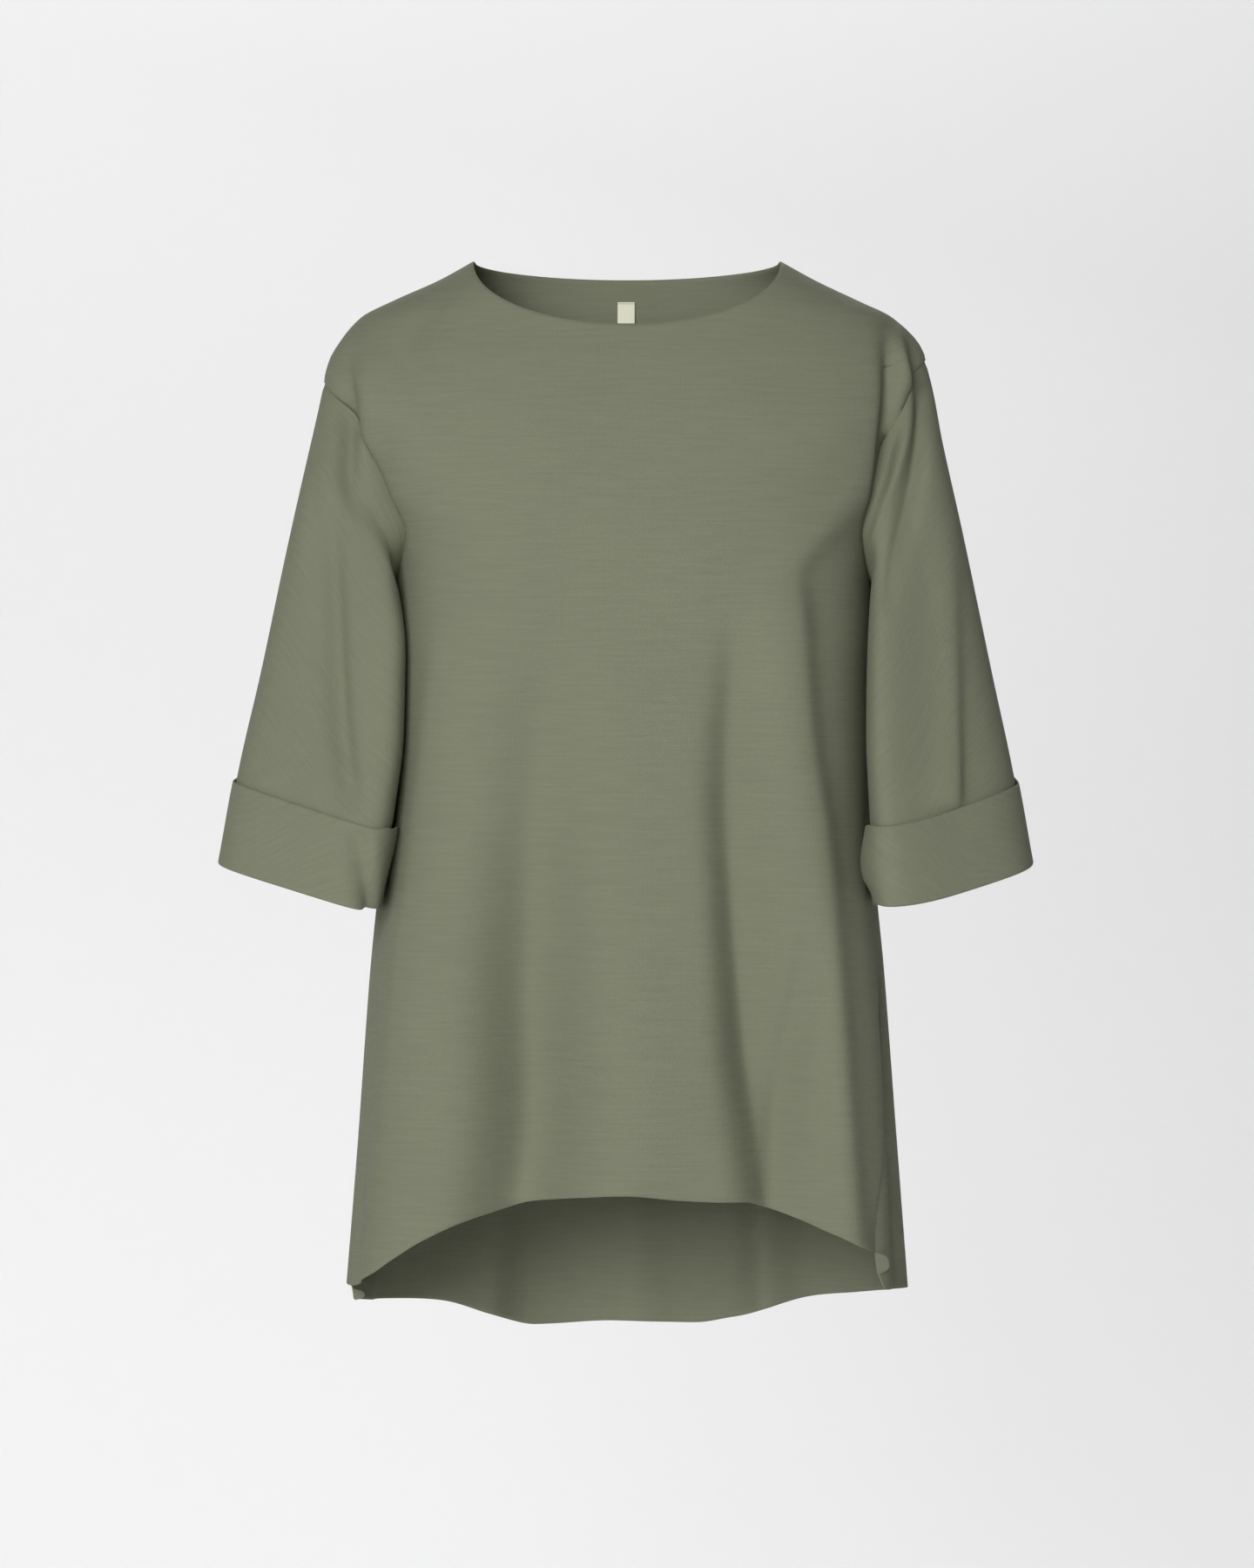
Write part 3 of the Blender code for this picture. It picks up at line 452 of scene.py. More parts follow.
SLEEVE_FOLDS = {
    "sleeve_right": {
        "long_trough": (
            (-165, -213, 0, 8, 9), (-210, -209, -7, 9, 8), (-290, -206, -9, 9, 8), (-340, -202, -9, 9, 8),
            (-372, -197, -6, 9, 8), (-392, -194, 0, 9, 8)),
        "fine_trough": (
            (-130, -221, 0, 4, 4), (-170, -222, -1.5, 4, 4), (-270, -223, -1.5, 4, 4), (-320, -225, 0, 5, 5)),
        "cuff_dent": (
            (-396, -193, 0, 8, 5), (-408, -189, -5, 9, 5), (-445, -183, -7, 9, 5), (-465, -180, -4, 8, 5)),
        "cuff_crease": ((-355, -250, 0, 5, 5), (-367, -257, 1.5, 5, 4), (-374, -261, 0, 5, 5)),
    },
    "sleeve_left": {
        "ridge": (
            (-95, 203, 0, 6, 6), (-125, 197, 3, 6, 6), (-150, 190, 4, 6, 6), (-195, 176, 3, 7, 6),
            (-215, 172, 0, 7, 6)),
        "trough": (
            (-70, 212, 0, 6, 8), (-100, 209, -7, 6, 8), (-122, 207, -9, 6, 8), (-166, 198, -8, 6, 8),
            (-220, 186, -5, 7, 8), (-250, 183, 0, 7, 8)),
        "front_edge": (
            (-165, 226, 0, 12, 8), (-230, 228, 4, 14, 7), (-320, 230, 6, 14, 6), (-374, 231, 7, 14, 5),
            (-382, 231, 5, 14, 5), (-388, 231, 0, 14, 6)),
    },
}
print(len(SHOULDER_FOLDS), "creases on the shoulders")

# %% Creases of the back and the sides
BACK_FOLDS = {
    "right_flute": (
        (-240, -75, 0, 22, 18), (-360, -84, -5, 22, 18), (-520, -92, -10, 24, 18), (-640, -98, -15, 24, 20),
        (-745, -104, -16, 24, 20)),
    "middle_flute": (
        (-330, 14, 0, 18, 20), (-450, 10, -5, 18, 20), (-600, 2, -8, 20, 24), (-760, 6, -9, 22, 26)),
    "left_flute": (
        (-260, 80, 0, 18, 24), (-380, 88, -6, 18, 24), (-540, 96, -12, 18, 22), (-640, 102, -20, 20, 22),
        (-740, 106, -22, 20, 22)),
    "blade_drag": ((-120, -50, 0, 16, 16), (-170, -72, -2.5, 16, 16), (-230, -96, 0, 16, 16)),
    "blade_drag_left": ((-110, 62, 0, 16, 16), (-165, 84, -2.5, 16, 16), (-215, 104, 0, 16, 16)),
}
SIDE_FOLDS = {
    "front_flute": ((-360, -40, 0, 14, 12), (-500, -46, -4, 14, 12), (-720, -58, -6, 16, 12)),
    "back_flute": ((-380, 48, 0, 14, 14), (-520, 54, -4, 14, 16), (-730, 64, -7, 16, 16)),
}
RIGHT_CORNER = {"curl": ((-719.5, 10, 0, 40, 60), (-723, 10, -4, 40, 60), (-733, 10, -7, 40, 60))}
print(len(BACK_FOLDS), "creases on the back")


# %% The cloth lifted by its creases
def lift(name, points, normal):
    """How far the creases lift each point of a piece along its normal."""
    x, z = as_seen(points)
    to_front = ease(-normal[..., 1] * 2.2 - 0.15)
    to_back = ease(normal[..., 1] * 2.2 - 0.15)
    total = creases(z, x, SHOULDER_FOLDS) * to_front
    depth_mm, height_mm = points[..., 1] * 1000, points[..., 2] * 1000
    to_side = ease(np.abs(normal[..., 0]) * 2 - 0.9)
    if name in ("front_panel", "back_panel"):
        total += creases(height_mm, depth_mm, SIDE_FOLDS) * to_side
        total += creases(height_mm, depth_mm, RIGHT_CORNER) * to_side * (points[..., 0] < 0)
        columns = points.shape[1] - 1
        inside = ease((1 - np.abs(np.linspace(-1, 1, columns + 1))) / 0.05)
        if name == "front_panel":
            total += creases(z, x, FRONT_FOLDS) * inside * to_front
        else:
            total += creases(height_mm, points[..., 0] * 1000, BACK_FOLDS) * inside * to_back
    else:
        inside = ease(sleeve_run[name] / 0.02)
        total += creases(z, x, SLEEVE_FOLDS[name]) * inside * to_front
    return total


for name in grids:
    grids[name] = grids[name] + normals[name] * lift(name, grids[name], normals[name])[..., None]
print("creases placed")

# %% [markdown]
# Sewing draws the cloth in by about a millimetre along a seam. A shallow valley on both sides of
# each seam line shows where the pieces are joined, as it does on the real shoulder and armhole.

# %% Seam valleys
SEAM_SINK, SEAM_REACH = 0.0009, 0.0035


def sink(distance):
    return -SEAM_SINK * np.exp(-((distance / SEAM_REACH) ** 2))


def edge_distance(grid):
    """Distance of each point of a panel from its nearer side edge, along its row."""
    run = run_along(grid, axis=1)
    return np.minimum(run, run[:, -1:] - run)


def underarm_distance(grid):
    """Distance of each point of a sleeve from the seam that runs down its inner side, round its ring."""
    run = run_along(grid, axis=1)
    return np.abs(run - run[:, [grid.shape[1] // 2]])


for name in grids:
    if "panel" in name:
        depth = sink(edge_distance(grids[name]))
    else:
        depth = np.minimum(sink(sleeve_run[name]), sink(underarm_distance(grids[name])))
    grids[name] = grids[name] + normals[name] * depth[..., None]
print("seams sunk by", SEAM_SINK * 1000, "mm")

# %% [markdown]
# Cloth has two faces and a cut edge. A wall is built from an outer grid and an inner one a cloth's
# thickness behind it, closed along the edges by a slightly rounded rim, because a raw cut jersey edge
# is soft. The grid also gives the weave its own map in metres, so that the knit keeps one scale.


# %% Mesh objects
def add_object(name, data):
    obj = bpy.data.objects.new(name, data)
    bpy.context.scene.collection.objects.link(obj)
    return obj


def mesh_piece(name, points, faces, corners):
    """A mesh object from arrays of faces, with a UV map called weave."""
    mesh = bpy.data.meshes.new(name)
    sizes = np.concatenate([np.full(len(face), face.shape[1]) for face in faces])
    loops = np.concatenate([face.ravel() for face in faces])
    mesh.vertices.add(len(points))
    mesh.vertices.foreach_set("co", points.astype(np.float32).ravel())
    mesh.loops.add(len(loops))
    mesh.loops.foreach_set("vertex_index", loops.astype(np.int32))
    mesh.polygons.add(len(sizes))
    mesh.polygons.foreach_set("loop_start", np.concatenate([[0], np.cumsum(sizes)[:-1]]).astype(np.int32))
    mesh.update(calc_edges=True)
    layer = mesh.uv_layers.new(name="weave")
    flat = np.concatenate([c.reshape(-1, 2) for c in corners])
    layer.uv.foreach_set("vector", flat.astype(np.float32).ravel())
    mesh.validate()
    mesh.shade_smooth()
    mesh.set_sharp_from_angle(angle=np.radians(75))
    return add_object(name, mesh)


# %% Walls of cloth
RIM_BULGE = 0.35


def grid_wall(name, outer, inner, is_tube, is_flipped, weave):
    """A closed mesh from two grids of one size, with the map `weave` of every point, in metres."""
    rows, columns = outer.shape[:2]
    middle = (outer + inner) / 2
    layers = [outer.reshape(-1, 3), inner.reshape(-1, 3)]
    second = rows * columns
    here = np.arange(columns if is_tube else columns - 1)
    then = (here + 1) % columns
    r, c = np.meshgrid(np.arange(rows - 1), here, indexing="ij")
    r, c = r.ravel(), c.ravel()
    after = (c + 1) % columns
    row, under = r * columns, (r + 1) * columns
    outside = np.stack([row + c, under + c, under + after, row + after], 1)
    map_at, wide = weave.reshape(-1, 2), weave.shape[1]
    row, under = r * wide + c, (r + 1) * wide + c
    outside_map = np.stack([row, under, under + 1, row + 1], 1)
    faces, maps = [outside, (outside + second)[:, ::-1]], [outside_map, outside_map[:, ::-1]]
    count = 2 * second
    for row, inward, is_last in ((0, 1, False), (rows - 1, rows - 2, True)):
        layers.append(middle[row] + unit(middle[row] - middle[inward]) * CLOTH * RIM_BULGE)
        for a, b in ((row * columns, count), (count, second + row * columns)):
            quad = np.stack([a + here, a + then, b + then, b + here], 1)
            faces.append(quad[:, ::-1] if is_last else quad)
            at = row * wide + here
            flat = np.stack([at, at + 1, at + 1, at], 1)
            maps.append(flat[:, ::-1] if is_last else flat)
        count += columns
    if not is_tube:
        for column in (0, columns - 1):
            here = np.arange(rows - 1) * columns + column
            then = here + columns
            quad = np.stack([here, here + second, then + second, then], 1)
            faces.append(quad if column == 0 else quad[:, ::-1])
            at = np.arange(rows - 1) * wide + column
            flat = np.stack([at, at, at + wide, at + wide], 1)
            maps.append(flat if column == 0 else flat[:, ::-1])
            for start, extra in ((0, 2 * second), ((rows - 1) * columns, 2 * second + columns)):
                triangle = np.array([[start + column, extra + column, start + column + second]])
                is_turned = (column == 0) != (start == 0)
                faces.append(triangle[:, ::-1] if is_turned else triangle)
                maps.append(np.full((1, 3), (start // columns) * wide + column))
    if is_flipped:
        faces, maps = [face[:, ::-1] for face in faces], [flat[:, ::-1] for flat in maps]
    return mesh_piece(name, np.concatenate(layers), faces, [map_at[flat] for flat in maps])

# %% [markdown]
# The front and back panels become walls. The weave map runs level across a panel, because the
# courses of the knit run level on the real cloth, whatever way the hem is cut.

# %% Front and back panels
cloth_pieces = {}
inner_faces = {}
for name, is_front in (("front_panel", True), ("back_panel", False)):
    outer = grids[name].copy()
    for column, inward in ((0, 1), (-1, -2)):
        outer[:, column] += unit(outer[:, inward] - outer[:, column]) * SEAM_GAP / 2
    inner = outer - normals[name] * CLOTH
    inner_faces[name] = inner
    run = run_along(outer[..., :2], axis=1)
    run -= run[:, [outer.shape[1] // 2]]
    weave = np.stack([run, outer[..., 2]], -1)
    cloth_pieces[name] = grid_wall("cloth_" + name, outer, inner, False, not is_front, weave)
    print(name, len(cloth_pieces[name].data.polygons), "faces")

# %% [markdown]
# The sleeve's wall goes down, round its lower edge and up outside as the cuff. The cuff stands off
# the sleeve a little, more at its inner end, where it was turned up loosely.

# %% Sleeves and turned-up cuffs
CUFF_SPACE = 0.0010
CUFF_FLARE = {
    "sleeve_right": ((176, 22, 0.0030, 0.9), (60, 30, 0.0010, 0.8)),
    "sleeve_left": ((172, 26, 0.0065, 0.5), (60, 30, 0.0015, 0.8)),
}
for name in ("sleeve_right", "sleeve_left"):
    grid = grids[name].copy()
    grid[0] += unit(grid[1] - grid[0]) * SEAM_GAP / 2
    normal = normals[name]
    outer, inner = grid, grid - normal * CLOTH
    end, end_normal, down = grid[-1], normal[-1], unit(grid[-1] - grid[-2])
    space = CUFF_SPACE / 2
    turn = np.linspace(0, np.pi, FOLD_ROWS + 2)[1:-1, None, None]
    centre = end + end_normal * space
    inside_turn, outside_turn = (
        centre - end_normal * np.cos(turn) * reach + down * np.sin(turn) * reach
        for reach in (space, space + CLOTH))
    cuff, cuff_normal = grid[-1 - CUFF_ROWS:][::-1], normal[-1 - CUFF_ROWS:][::-1]
    columns = grid.shape[1]
    degrees = np.arange(columns) * 360 / columns
    up = np.linspace(0, 1, CUFF_ROWS + 1)[:, None]
    stand = np.full((CUFF_ROWS + 1, columns), CUFF_SPACE)
    for place, width, height, level in CUFF_FLARE[name]:
        away = (degrees - place + 180) % 360 - 180
        belly = np.exp(-(((up - level) / 0.42) ** 2)) * ease(up * 3)
        stand = stand + height * np.exp(-((away / width) ** 2)) * belly
    near = cuff + cuff_normal * stand[..., None]
    outside = near + cuff_normal * CLOTH
    outer = np.concatenate([outer, inside_turn, near])
    inner = np.concatenate([inner, outside_turn, outside])
    middle = (outer + inner) / 2
    ring = np.concatenate([middle, middle[:, :1]], axis=1)
    down_run = run_along(middle)
    down_run = np.concatenate([down_run, down_run[:, :1]], axis=1)
    weave = np.stack([np.broadcast_to(run_along(ring[:1], axis=1), down_run.shape), -down_run], -1)
    cloth_pieces[name] = grid_wall("cloth_" + name, outer, inner, True, name == "sleeve_left", weave)
    print(name, len(cloth_pieces[name].data.polygons), "faces")

# %% [markdown]
# Inside each side seam the two raw edges of the panels are overlocked together and lie flat towards
# the front. Where the front hem ends above the back one, the end of this strip peeps out below it,
# as it does at both hem corners in the photo. It is a thin wall that follows the front panel's inside.

# %% Seam allowances at the sides
ALLOWANCE_COLUMNS, ALLOWANCE_LAYERS, ALLOWANCE_OFF = 4, 0.0022, 0.0005
allowances, allowance_edges = [], []
front_end = {RIGHT: grids["front_panel"][-1, 0, 2], LEFT: grids["front_panel"][-1, -1, 2]}
for side, word, edge in SIDES:
    columns = [edge - side * k for k in range(ALLOWANCE_COLUMNS + 1)]
    face = inner_faces["front_panel"][armhole_end + 3:, columns]
    facing = normals["front_panel"][armhole_end + 3:, columns]
    outer = face - facing * ALLOWANCE_OFF
    inner = outer - facing * ALLOWANCE_LAYERS
    allowances.append(
        grid_wall("side_allowance_" + word, outer, inner, False, side == LEFT, outer[..., [0, 2]]))
    allowance_edges.append((outer[:, -1] + inner[:, -1]) / 2)
print("seam allowances", [round(a.dimensions[2], 3) for a in allowances], "m long")

# %% [markdown]
# At each hem corner the last bit of that strip is loose and turns out: a small flap, wider on the
# wearer's left. Each is a rounded tongue that starts at the end of the front panel's side seam.

# %% Loose ends of the seam allowances
# Each row: start below the front panel's end, length, width, way across, way faced, shift along it.
SEAM_ENDS = {
    RIGHT: (0.0050, 0.0080, 0.0065, (0.93, -0.36, 0.0), (-0.30, -0.95, -0.1), 0.0012),
    LEFT: (0.0012, 0.0158, 0.0090, (0.96, 0.28, 0.0), (-0.25, -0.97, 0.0), -0.0012),
}
FLAP_ROWS, FLAP_COLUMNS, FLAP_ROOT, FLAP_CUP = 24, 8, 0.0008, 0.0010
down = np.linspace(0, 1, FLAP_ROWS + 1)[:, None]
over = np.linspace(0, 1, FLAP_COLUMNS + 1)
for side, word, edge in SIDES:
    start, length, width, way, faced, root = SEAM_ENDS[side]
    line = grids["back_panel"][armhole_end:, edge]
    heights = front_end[side] - start - length * down[:, 0]
    path = np.stack([np.interp(-heights, -line[:, 2], line[:, k]) for k in range(2)] + [heights], -1)
    path = path + np.array(way) * root
    reach = width * (1 - np.abs(2 * down - 1) ** 3.0) + FLAP_ROOT
    outer = path[:, None] + np.array(way) * (reach * over)[..., None]
    outer = outer - np.array(faced) * (FLAP_CUP * over[None, :, None] ** 2)
    inner = outer - unit(np.array(faced)) * ALLOWANCE_LAYERS * 0.7
    allowances.append(grid_wall("seam_end_" + word, outer, inner, False, False, outer[..., [0, 2]]))
print("seam ends", [round(a.dimensions[2], 3) for a in allowances[2:]], "m long")

# %% [markdown]
# The label is a short strip of woven ribbon, plain cream, sewn inside the back of the neck. It hangs
# from its upper edge and leans into the neck opening a little.

# %% Neck label
LABEL_LEFT_X, LABEL_RIGHT_X = -0.0068, 0.0055
LABEL_TOP, LABEL_BOTTOM = -0.0215, -0.0465
LABEL_THICKNESS, LABEL_LEAN, LABEL_CURL = 0.0006, 0.003, 0.0006
LABEL_GAP, WALL_LEAN, HANGS_STRAIGHT = 0.0009, 1.02, 0.8
LABEL_COLUMNS, LABEL_ROWS = 19, 37
label_x = np.linspace(LABEL_LEFT_X, LABEL_RIGHT_X, LABEL_COLUMNS)
share = np.linspace(0, 1, LABEL_ROWS)[:, None]
label_z = np.linspace(LABEL_TOP, LABEL_BOTTOM, LABEL_ROWS)[:, None] + 0 * label_x
back_of_neck = on_body(label_z, np.full(label_z.shape, np.pi))[..., 1]
curl = LABEL_CURL * np.cos(np.pi * (label_x - label_x.mean()) / (label_x[-1] - label_x[0])) * share
far = back_of_neck + (back_of_neck[0] - back_of_neck) * HANGS_STRAIGHT * share
far = far - (CLOTH + LABEL_GAP) * WALL_LEAN - LABEL_LEAN * share**2 - curl
label_outer = np.stack([label_x + 0 * label_z, far - LABEL_THICKNESS, label_z], -1)
label_inner = np.stack([label_x + 0 * label_z, far, label_z], -1)
label = grid_wall("cloth_neck_label", label_outer, label_inner, False, False, label_outer[..., [0, 2]])
print("label", [round(v * 1000, 1) for v in label.dimensions], "mm")

# %% [markdown]
# Jersey is a knit: its courses run level and its wales run down, with loops about a millimetre wide.
# From a few steps away it reads as a matt surface with faint level streaks, where the yarn is a
# little thicker or thinner. One node group makes the loops and the streaks from the weave map, and
# every cloth material uses it with its own values.


# %% A node group for knitted cloth
def add_node(tree, kind, **settings):
    node = tree.nodes.new(kind)
    for key, value in settings.items():
        setattr(node, key, value)
    return node


def sum_of(tree, operation, first, second=0.0):
    """Output of a node that does one sum with two values, each a number or another node's output."""
    node = add_node(tree, "ShaderNodeMath", operation=operation)
    for socket, value in zip(node.inputs, (first, second)):
        if isinstance(value, (int, float)):
            socket.default_value = value
        else:
            tree.links.new(value, socket)
    return node.outputs[0]


def set_inputs(node, **values):
    for name, value in values.items():
        node.inputs[name.replace("_", " ")].default_value = value
    return node


def add_sockets(tree, kind, in_out, names):
    """Adds sockets of one kind to a node group: names maps each name to its first value, or to None."""
    for name, value in names.items():
        socket = tree.interface.new_socket(name, in_out=in_out, socket_type="NodeSocket" + kind)
        if value is not None:
            socket.default_value = value


# %% The knit, from the weave map
knit = bpy.data.node_groups.new("knit", "ShaderNodeTree")
add_sockets(knit, "Vector", "INPUT", {"Map": None})
add_sockets(knit, "Float", "INPUT", {"Courses": 900.0, "Wales": 700.0, "Streak Length": 26.0})
add_sockets(knit, "Float", "OUTPUT", {"Height": None, "Streaks": None, "Blotches": None})
enter, leave = add_node(knit, "NodeGroupInput"), add_node(knit, "NodeGroupOutput")
split = add_node(knit, "ShaderNodeSeparateXYZ")
link = knit.links.new


def sums(operation, first, second=0.0):
    return sum_of(knit, operation, first, second)


def noise(scale, detail, where):
    node = set_inputs(add_node(knit, "ShaderNodeTexNoise"), Scale=scale, Detail=detail)
    link(where, node.inputs["Vector"])
    return sums("MULTIPLY", sums("SUBTRACT", node.outputs["Fac"], 0.5), 2.0)


link(enter.outputs["Map"], split.inputs[0])
course = sums("MULTIPLY", split.outputs["Y"], enter.outputs["Courses"])
wale = sums("MULTIPLY", split.outputs["X"], enter.outputs["Wales"])
slant = sums("ABSOLUTE", sums("SINE", sums("MULTIPLY", wale, np.pi)))
bent = sums("ADD", course, sums("MULTIPLY", slant, 0.45))
loop = sums("SINE", sums("MULTIPLY", bent, 2 * np.pi))
furrow = sums("MULTIPLY", sums("SUBTRACT", slant, 0.6), 0.8)
stretch = add_node(knit, "ShaderNodeCombineXYZ")
link(sums("MULTIPLY", split.outputs["X"], enter.outputs["Streak Length"]), stretch.inputs["X"])
link(sums("MULTIPLY", course, 0.55), stretch.inputs["Y"])
link(sums("ADD", sums("MULTIPLY", loop, 0.5), furrow), leave.inputs["Height"])
link(noise(1.0, 2.0, stretch.outputs[0]), leave.inputs["Streaks"])
link(noise(9.0, 3.0, enter.outputs["Map"]), leave.inputs["Blotches"])
print("knit group", len(knit.nodes), "nodes")


# %% Jersey and label materials
def cloth_material(name, colour, courses, wales, yarn_tone_and_knit_shade, bump, roughness, sheen, sheen_tint):
    """Matt cloth with yarn streaks and blotches in its colour, painted shade in the knit's furrows, painted
    light on its loops, and a soft sheen towards its edges.
    """
    material = bpy.data.materials.new(name)
    material.use_nodes = True
    material.diffuse_color = (*colour, 1)
    tree = material.node_tree
    link, shader = tree.links.new, tree.nodes["Principled BSDF"]
    source = add_node(tree, "ShaderNodeUVMap", uv_map="weave")
    group = add_node(tree, "ShaderNodeGroup", node_tree=knit)
    set_inputs(group, Courses=courses, Wales=wales)
    link(source.outputs[0], group.inputs["Map"])
    gain = sum_of(tree, "MULTIPLY", group.outputs["Streaks"], yarn_tone_and_knit_shade)
    # Painted shade and light: the knit's height is added to the colour, darker in the furrows and lighter on
    # the loops.
    for output, part in (("Blotches", yarn_tone_and_knit_shade * 0.4), ("Height", yarn_tone_and_knit_shade * 0.2)):
        gain = sum_of(tree, "ADD", gain, sum_of(tree, "MULTIPLY", group.outputs[output], part))
    tint = add_node(tree, "ShaderNodeVectorMath", operation="SCALE")
    tint.inputs[0].default_value = colour
    link(sum_of(tree, "ADD", gain, 1.0), tint.inputs["Scale"])
    link(tint.outputs[0], shader.inputs["Base Color"])
    uneven = sum_of(tree, "MULTIPLY", group.outputs["Blotches"], 0.03)
    link(sum_of(tree, "ADD", uneven, roughness), shader.inputs["Roughness"])
    relief = set_inputs(add_node(tree, "ShaderNodeBump"), Strength=1.0, Distance=bump)
    link(group.outputs["Height"], relief.inputs["Height"])
    link(relief.outputs[0], shader.inputs["Normal"])
    set_inputs(shader, Sheen_Weight=sheen, Sheen_Roughness=0.45, Sheen_Tint=(*sheen_tint, 1))
    set_inputs(shader, Specular_IOR_Level=0.25)
    return material


JERSEY_COLOUR = (0.215, 0.228, 0.156)
CREAM, PALE_GREEN = (1.0, 1.0, 0.9), (0.62, 0.66, 0.52)
jersey = cloth_material("jersey", JERSEY_COLOUR, 900, 700, 0.11, 0.00012, 0.88, 0.10, PALE_GREEN)
ribbon = cloth_material("label_ribbon", (0.95, 0.95, 0.77), 1600, 1400, 0.05, 0.00008, 0.7, 0.05, CREAM)
for piece in (*cloth_pieces.values(), *allowances):
    piece.data.materials.append(jersey)
label.data.materials.append(ribbon)
print("materials", [m.name for m in (jersey, ribbon)])

# %% [markdown]
# Stitches repeat one small shape along a path, so Geometry Nodes places them: the path becomes a
# curve, the curve becomes evenly spaced points, and each point gets a short rod of thread that is
# turned to the path. One tree makes both the overlocking of the side seams and the label's stitches,
# from different inputs. Modelling each stitch by hand would give the same look with far more work.


# %% A node tree for stitches
tree = stitch_tree = bpy.data.node_groups.new("stitches", "GeometryNodeTree")
add_sockets(tree, "Geometry", "INPUT", {"Path": None})
add_sockets(tree, "Float", "INPUT", {
    "Pitch": 0.003, "Stitch Length": 0.003, "Thread Radius": 0.0002, "Slant": 0.6})
add_sockets(tree, "Int", "INPUT", {"Seed": 7})
add_sockets(tree, "Material", "INPUT", {"Thread": None})
add_sockets(tree, "Geometry", "OUTPUT", {"Stitches": None})
enter, leave = add_node(tree, "NodeGroupInput"), add_node(tree, "NodeGroupOutput")
curve = add_node(tree, "GeometryNodeMeshToCurve")
points = add_node(tree, "GeometryNodeCurveToPoints", mode="LENGTH")
rod = set_inputs(add_node(tree, "GeometryNodeMeshCylinder", fill_type="NGON"), Vertices=6)
place = add_node(tree, "GeometryNodeInstanceOnPoints")
tilt = add_node(tree, "FunctionNodeRotateRotation", rotation_space="LOCAL")
slant = add_node(tree, "ShaderNodeCombineXYZ")
turn = add_node(tree, "FunctionNodeEulerToRotation")
waver = add_node(tree, "FunctionNodeRandomValue", data_type="FLOAT")
set_inputs(waver, Min=-0.12, Max=0.12)
real = add_node(tree, "GeometryNodeRealizeInstances")
paint = add_node(tree, "GeometryNodeSetMaterial")
for one, output, other, entry in (
        (enter, "Path", curve, "Mesh"), (curve, "Curve", points, "Curve"), (enter, "Pitch", points, "Length"),
        (points, "Points", place, "Points"), (enter, "Thread Radius", rod, "Radius"),
        (enter, "Stitch Length", rod, "Depth"), (enter, "Seed", waver, "Seed"),
        (slant, "Vector", turn, "Euler"), (points, "Rotation", tilt, "Rotation"),
        (turn, "Rotation", tilt, "Rotate By"), (rod, "Mesh", place, "Instance"),
        (tilt, "Rotation", place, "Rotation"), (place, "Instances", real, "Geometry"),
        (real, "Geometry", paint, "Geometry"), (enter, "Thread", paint, "Material"),
        (paint, "Geometry", leave, "Stitches")):
    tree.links.new(one.outputs[output], other.inputs[entry])
uneven_slant = sum_of(tree, "ADD", enter.outputs["Slant"], waver.outputs["Value"])
tree.links.new(uneven_slant, slant.inputs["X"])
sockets = stitch_tree.interface.items_tree
socket_of = {item.name: item.identifier for item in sockets if item.in_out == "INPUT"}
print("stitch tree", len(stitch_tree.nodes), "nodes, inputs", list(socket_of))


# %% Stitches along the side seams and on the label
def stitch_along(name, path, settings):
    """A mesh of stitches along a path of points."""
    mesh = bpy.data.meshes.new(name + "_path")
    mesh.from_pydata([tuple(p) for p in path], [(i, i + 1) for i in range(len(path) - 1)], [])
    carrier = add_object(name + "_path", mesh)
    modifier = carrier.modifiers.new("stitches", "NODES")
    modifier.node_group = stitch_tree
    for key, value in settings.items():
        modifier[socket_of[key]] = value
    bpy.context.view_layer.update()
    made = bpy.data.meshes.new_from_object(carrier.evaluated_get(bpy.context.evaluated_depsgraph_get()))
    bpy.data.objects.remove(carrier)
    made.name = name
    made.materials.pop(index=0)
    return add_object(name, made)


thread = cloth_material("thread", (0.250, 0.262, 0.188), 3000, 3000, 0.05, 0.00002, 0.6, 0.2, CREAM)
overlock = [
    stitch_along("overlock_" + word, path, {
        "Pitch": 0.0028, "Stitch Length": 0.0042, "Thread Radius": 0.00022, "Slant": 1.25, "Thread": thread})
    for word, path in zip(("right", "left"), allowance_edges)]
label_top = label_outer[1] + np.array([0, -0.0003, 0])
label_stitches = stitch_along("label_stitches", label_top, {
    "Pitch": 0.0020, "Stitch Length": 0.0014, "Thread Radius": 0.00018, "Slant": 0.0, "Thread": thread})
print("stitches", [len(o.data.polygons) // 8 for o in (*overlock, label_stitches)])

# %% [markdown]
# The pieces ride on the frame's one body and stand for its nodes, whose own meshes are hidden. The table
# lists for each piece of cloth the size of the rectangle that it was cut from and the area of the cut, unused
# here.

# %% Pieces on the frame
CUT = {
    "front_panel": ((0.560, 0.700), 0.300),
    "back_panel": ((0.600, 0.780), 0.376),
    "sleeve_left": ((0.400, 0.410), 0.123),
    "sleeve_right": ((0.400, 0.410), 0.123),
}
sewn_on = {"front_panel": (*allowances, *overlock)}
for name, (flat, area) in CUT.items():
    piece = cloth_pieces[name]
    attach(piece, "root")
    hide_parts(name)
    for extra in sewn_on.get(name, ()):
        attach(extra, "root")
for piece in (label, label_stitches):
    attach(piece, "root")
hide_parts("neck_label")
print("sheets", [*CUT, "neck_label"])

# %% [markdown]
# The photo shows a plain pale backdrop. A floor that curves up into a wall far behind gives that with
# no line, as a paper roll does in a studio, and it stays well out of the way of a look from behind.

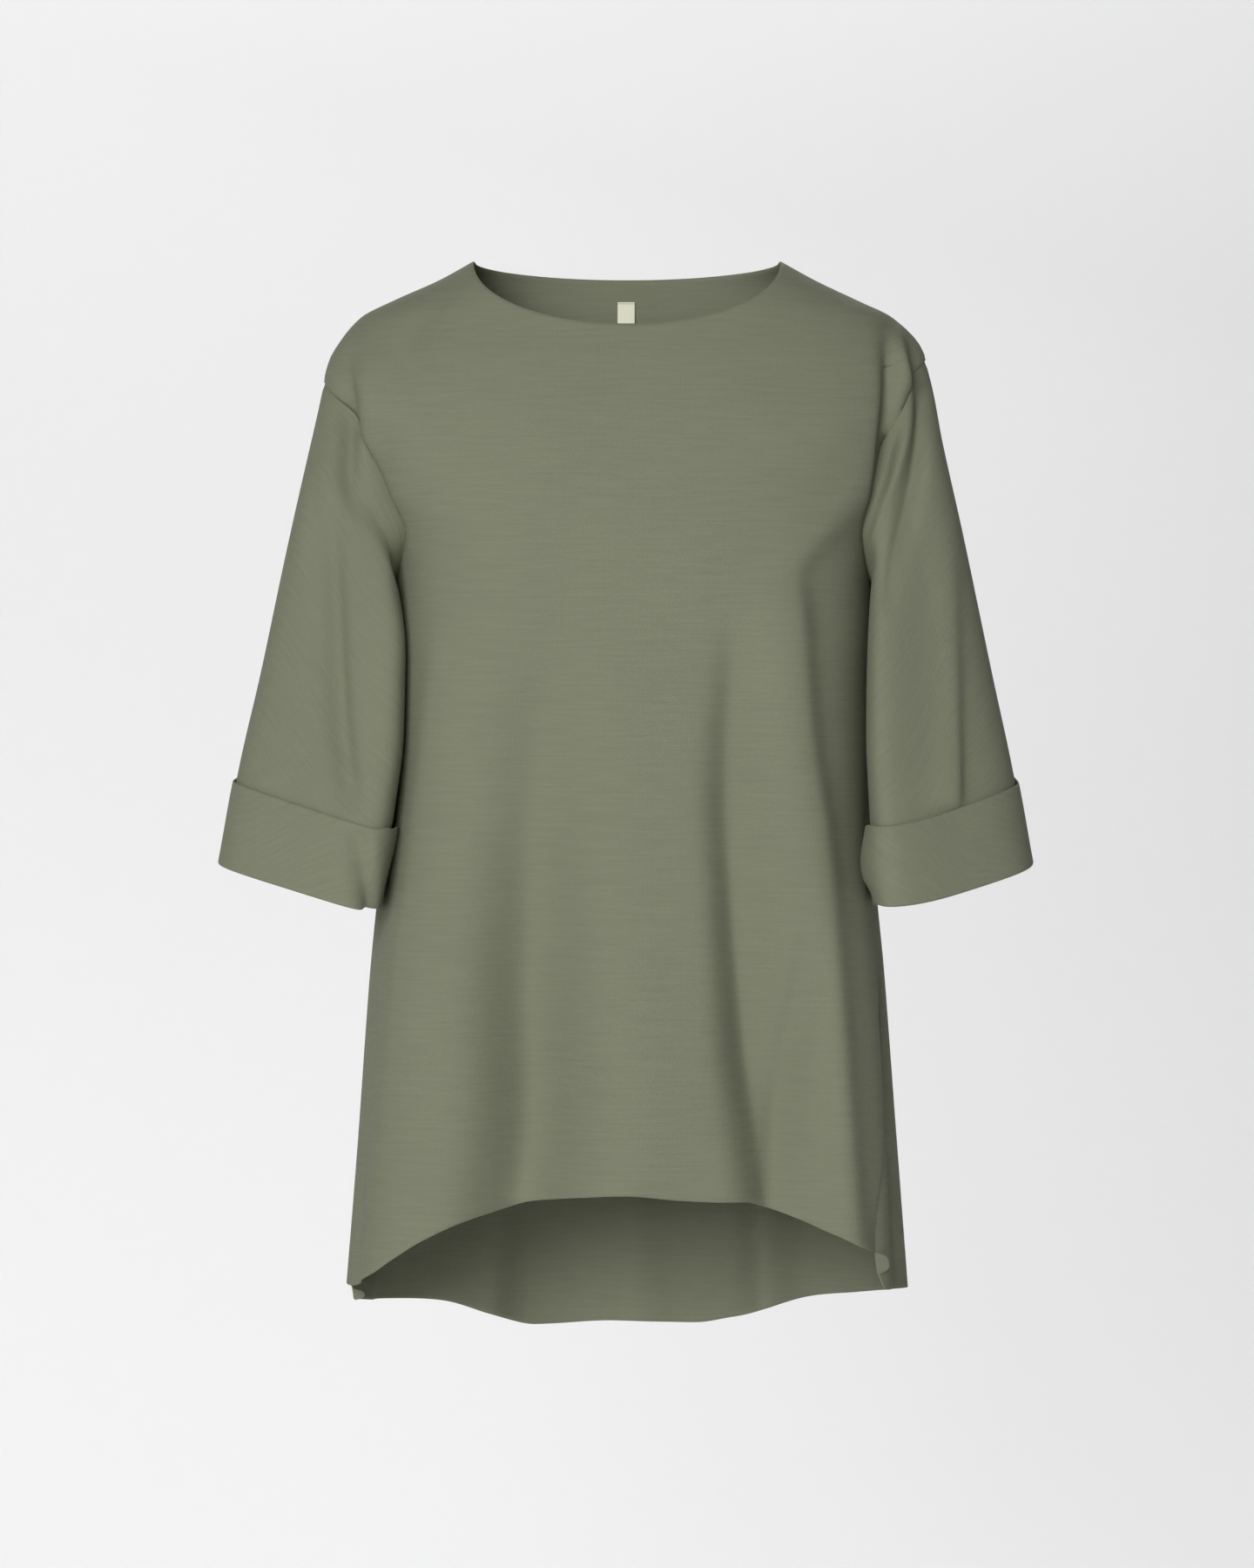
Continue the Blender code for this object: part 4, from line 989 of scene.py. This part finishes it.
# %% Backdrop
FLOOR = -2.0
BACK_WALL, CURVE = 5.2, 1.4
REACH, TOP = 9.0, 6.0
profile = [(-REACH, FLOOR), (BACK_WALL - CURVE, FLOOR)]
profile += [
    (BACK_WALL - CURVE + CURVE * np.sin(t), FLOOR + CURVE - CURVE * np.cos(t))
    for t in np.linspace(0.1, np.pi / 2, 16)]
profile += [(BACK_WALL, TOP)]
roll_points = [(x, y, z) for y, z in profile for x in (-REACH, 0.0, REACH)]
count = len(profile)
roll_faces = [
    (at, at + 1, at + 4, at + 3) for at in (r * 3 + c for r in range(count - 1) for c in range(2))]
roll_mesh = bpy.data.meshes.new("paper_roll")
roll_mesh.from_pydata(roll_points, [], roll_faces)
roll_mesh.shade_smooth()
backdrop = add_object("paper_roll", roll_mesh)
paper = bpy.data.materials.new("paper")
paper.use_nodes = True
paper_tree = paper.node_tree
paper_shader = set_inputs(paper_tree.nodes["Principled BSDF"], Roughness=0.9, Specular_IOR_Level=0.1)
paper_noise = set_inputs(add_node(paper_tree, "ShaderNodeTexNoise"), Scale=3.0)
paper_ramp = add_node(paper_tree, "ShaderNodeValToRGB")
for element, grey in zip(paper_ramp.color_ramp.elements, (0.80, 0.83)):
    element.color = (grey, grey, grey + 0.005, 1)
paper_tree.links.new(paper_noise.outputs["Fac"], paper_ramp.inputs["Fac"])
paper_tree.links.new(paper_ramp.outputs["Color"], paper_shader.inputs["Base Color"])
roll_mesh.materials.append(paper)
print("paper roll", len(roll_faces), "faces")

# %% [markdown]
# The main light comes from the front and a little from the left, from a large soft source: the front
# is even, the cloth that turns away to the right falls dark, and no shadow has a hard edge. Three
# lights brighten the wall from above, below and the side, and one more lights the garment's back.


# %% Lights
def softbox(name, place, aim, size, power):
    data = bpy.data.lights.new(name, "AREA")
    data.shape = "RECTANGLE"
    data.size, data.size_y = size
    data.energy = power
    obj = add_object(name, data)
    obj.location = place
    obj.rotation_euler = (Vector(aim) - Vector(place)).to_track_quat("-Z", "Y").to_euler()


softbox("key", (-1.05, -4.2, 0.48), (0, 0, -0.4), (1.8, 1.6), 140)
softbox("wall_light_top", (-0.5, 2.9, 3.3), (-0.5, 5.2, 2.0), (7.0, 0.7), 124)
softbox("wall_light_low", (-0.5, 3.4, -1.75), (-0.5, 5.2, -0.9), (7.0, 0.4), 23)
softbox("wall_light_side", (-4.0, 2.6, -0.4), (0.6, 5.2, -0.4), (2.4, 2.4), 28)
softbox("back_fill", (0.6, 4.0, 2.3), (0, 0.1, -0.4), (1.8, 1.8), 45)
world = bpy.data.worlds.new("studio")
bpy.context.scene.world = world
world.use_nodes = True
set_inputs(world.node_tree.nodes["Background"], Color=(1, 1, 1, 1), Strength=0.17)
bpy.context.scene.view_settings.view_transform = "Standard"
print(len(bpy.data.lights), "lights")

# %% [markdown]
# The camera stands level in front of the garment, 3.5 m away, at the height where the photo has its
# middle. Its lens is chosen so that 1800 rows of pixels span 1.109 m there.

# %% Camera
FRAME_HEIGHT = 1.1088
camera_data = bpy.data.cameras.new("camera")
camera_data.sensor_width = 36
camera_data.lens = 36 * CAMERA_AWAY / FRAME_HEIGHT
camera = add_object("camera", camera_data)
camera.location = (0, -CAMERA_AWAY, CAMERA_HEIGHT)
camera.rotation_euler = (np.pi / 2, 0, 0)
bpy.context.scene.camera = camera
print("lens", round(camera_data.lens, 1), "mm")
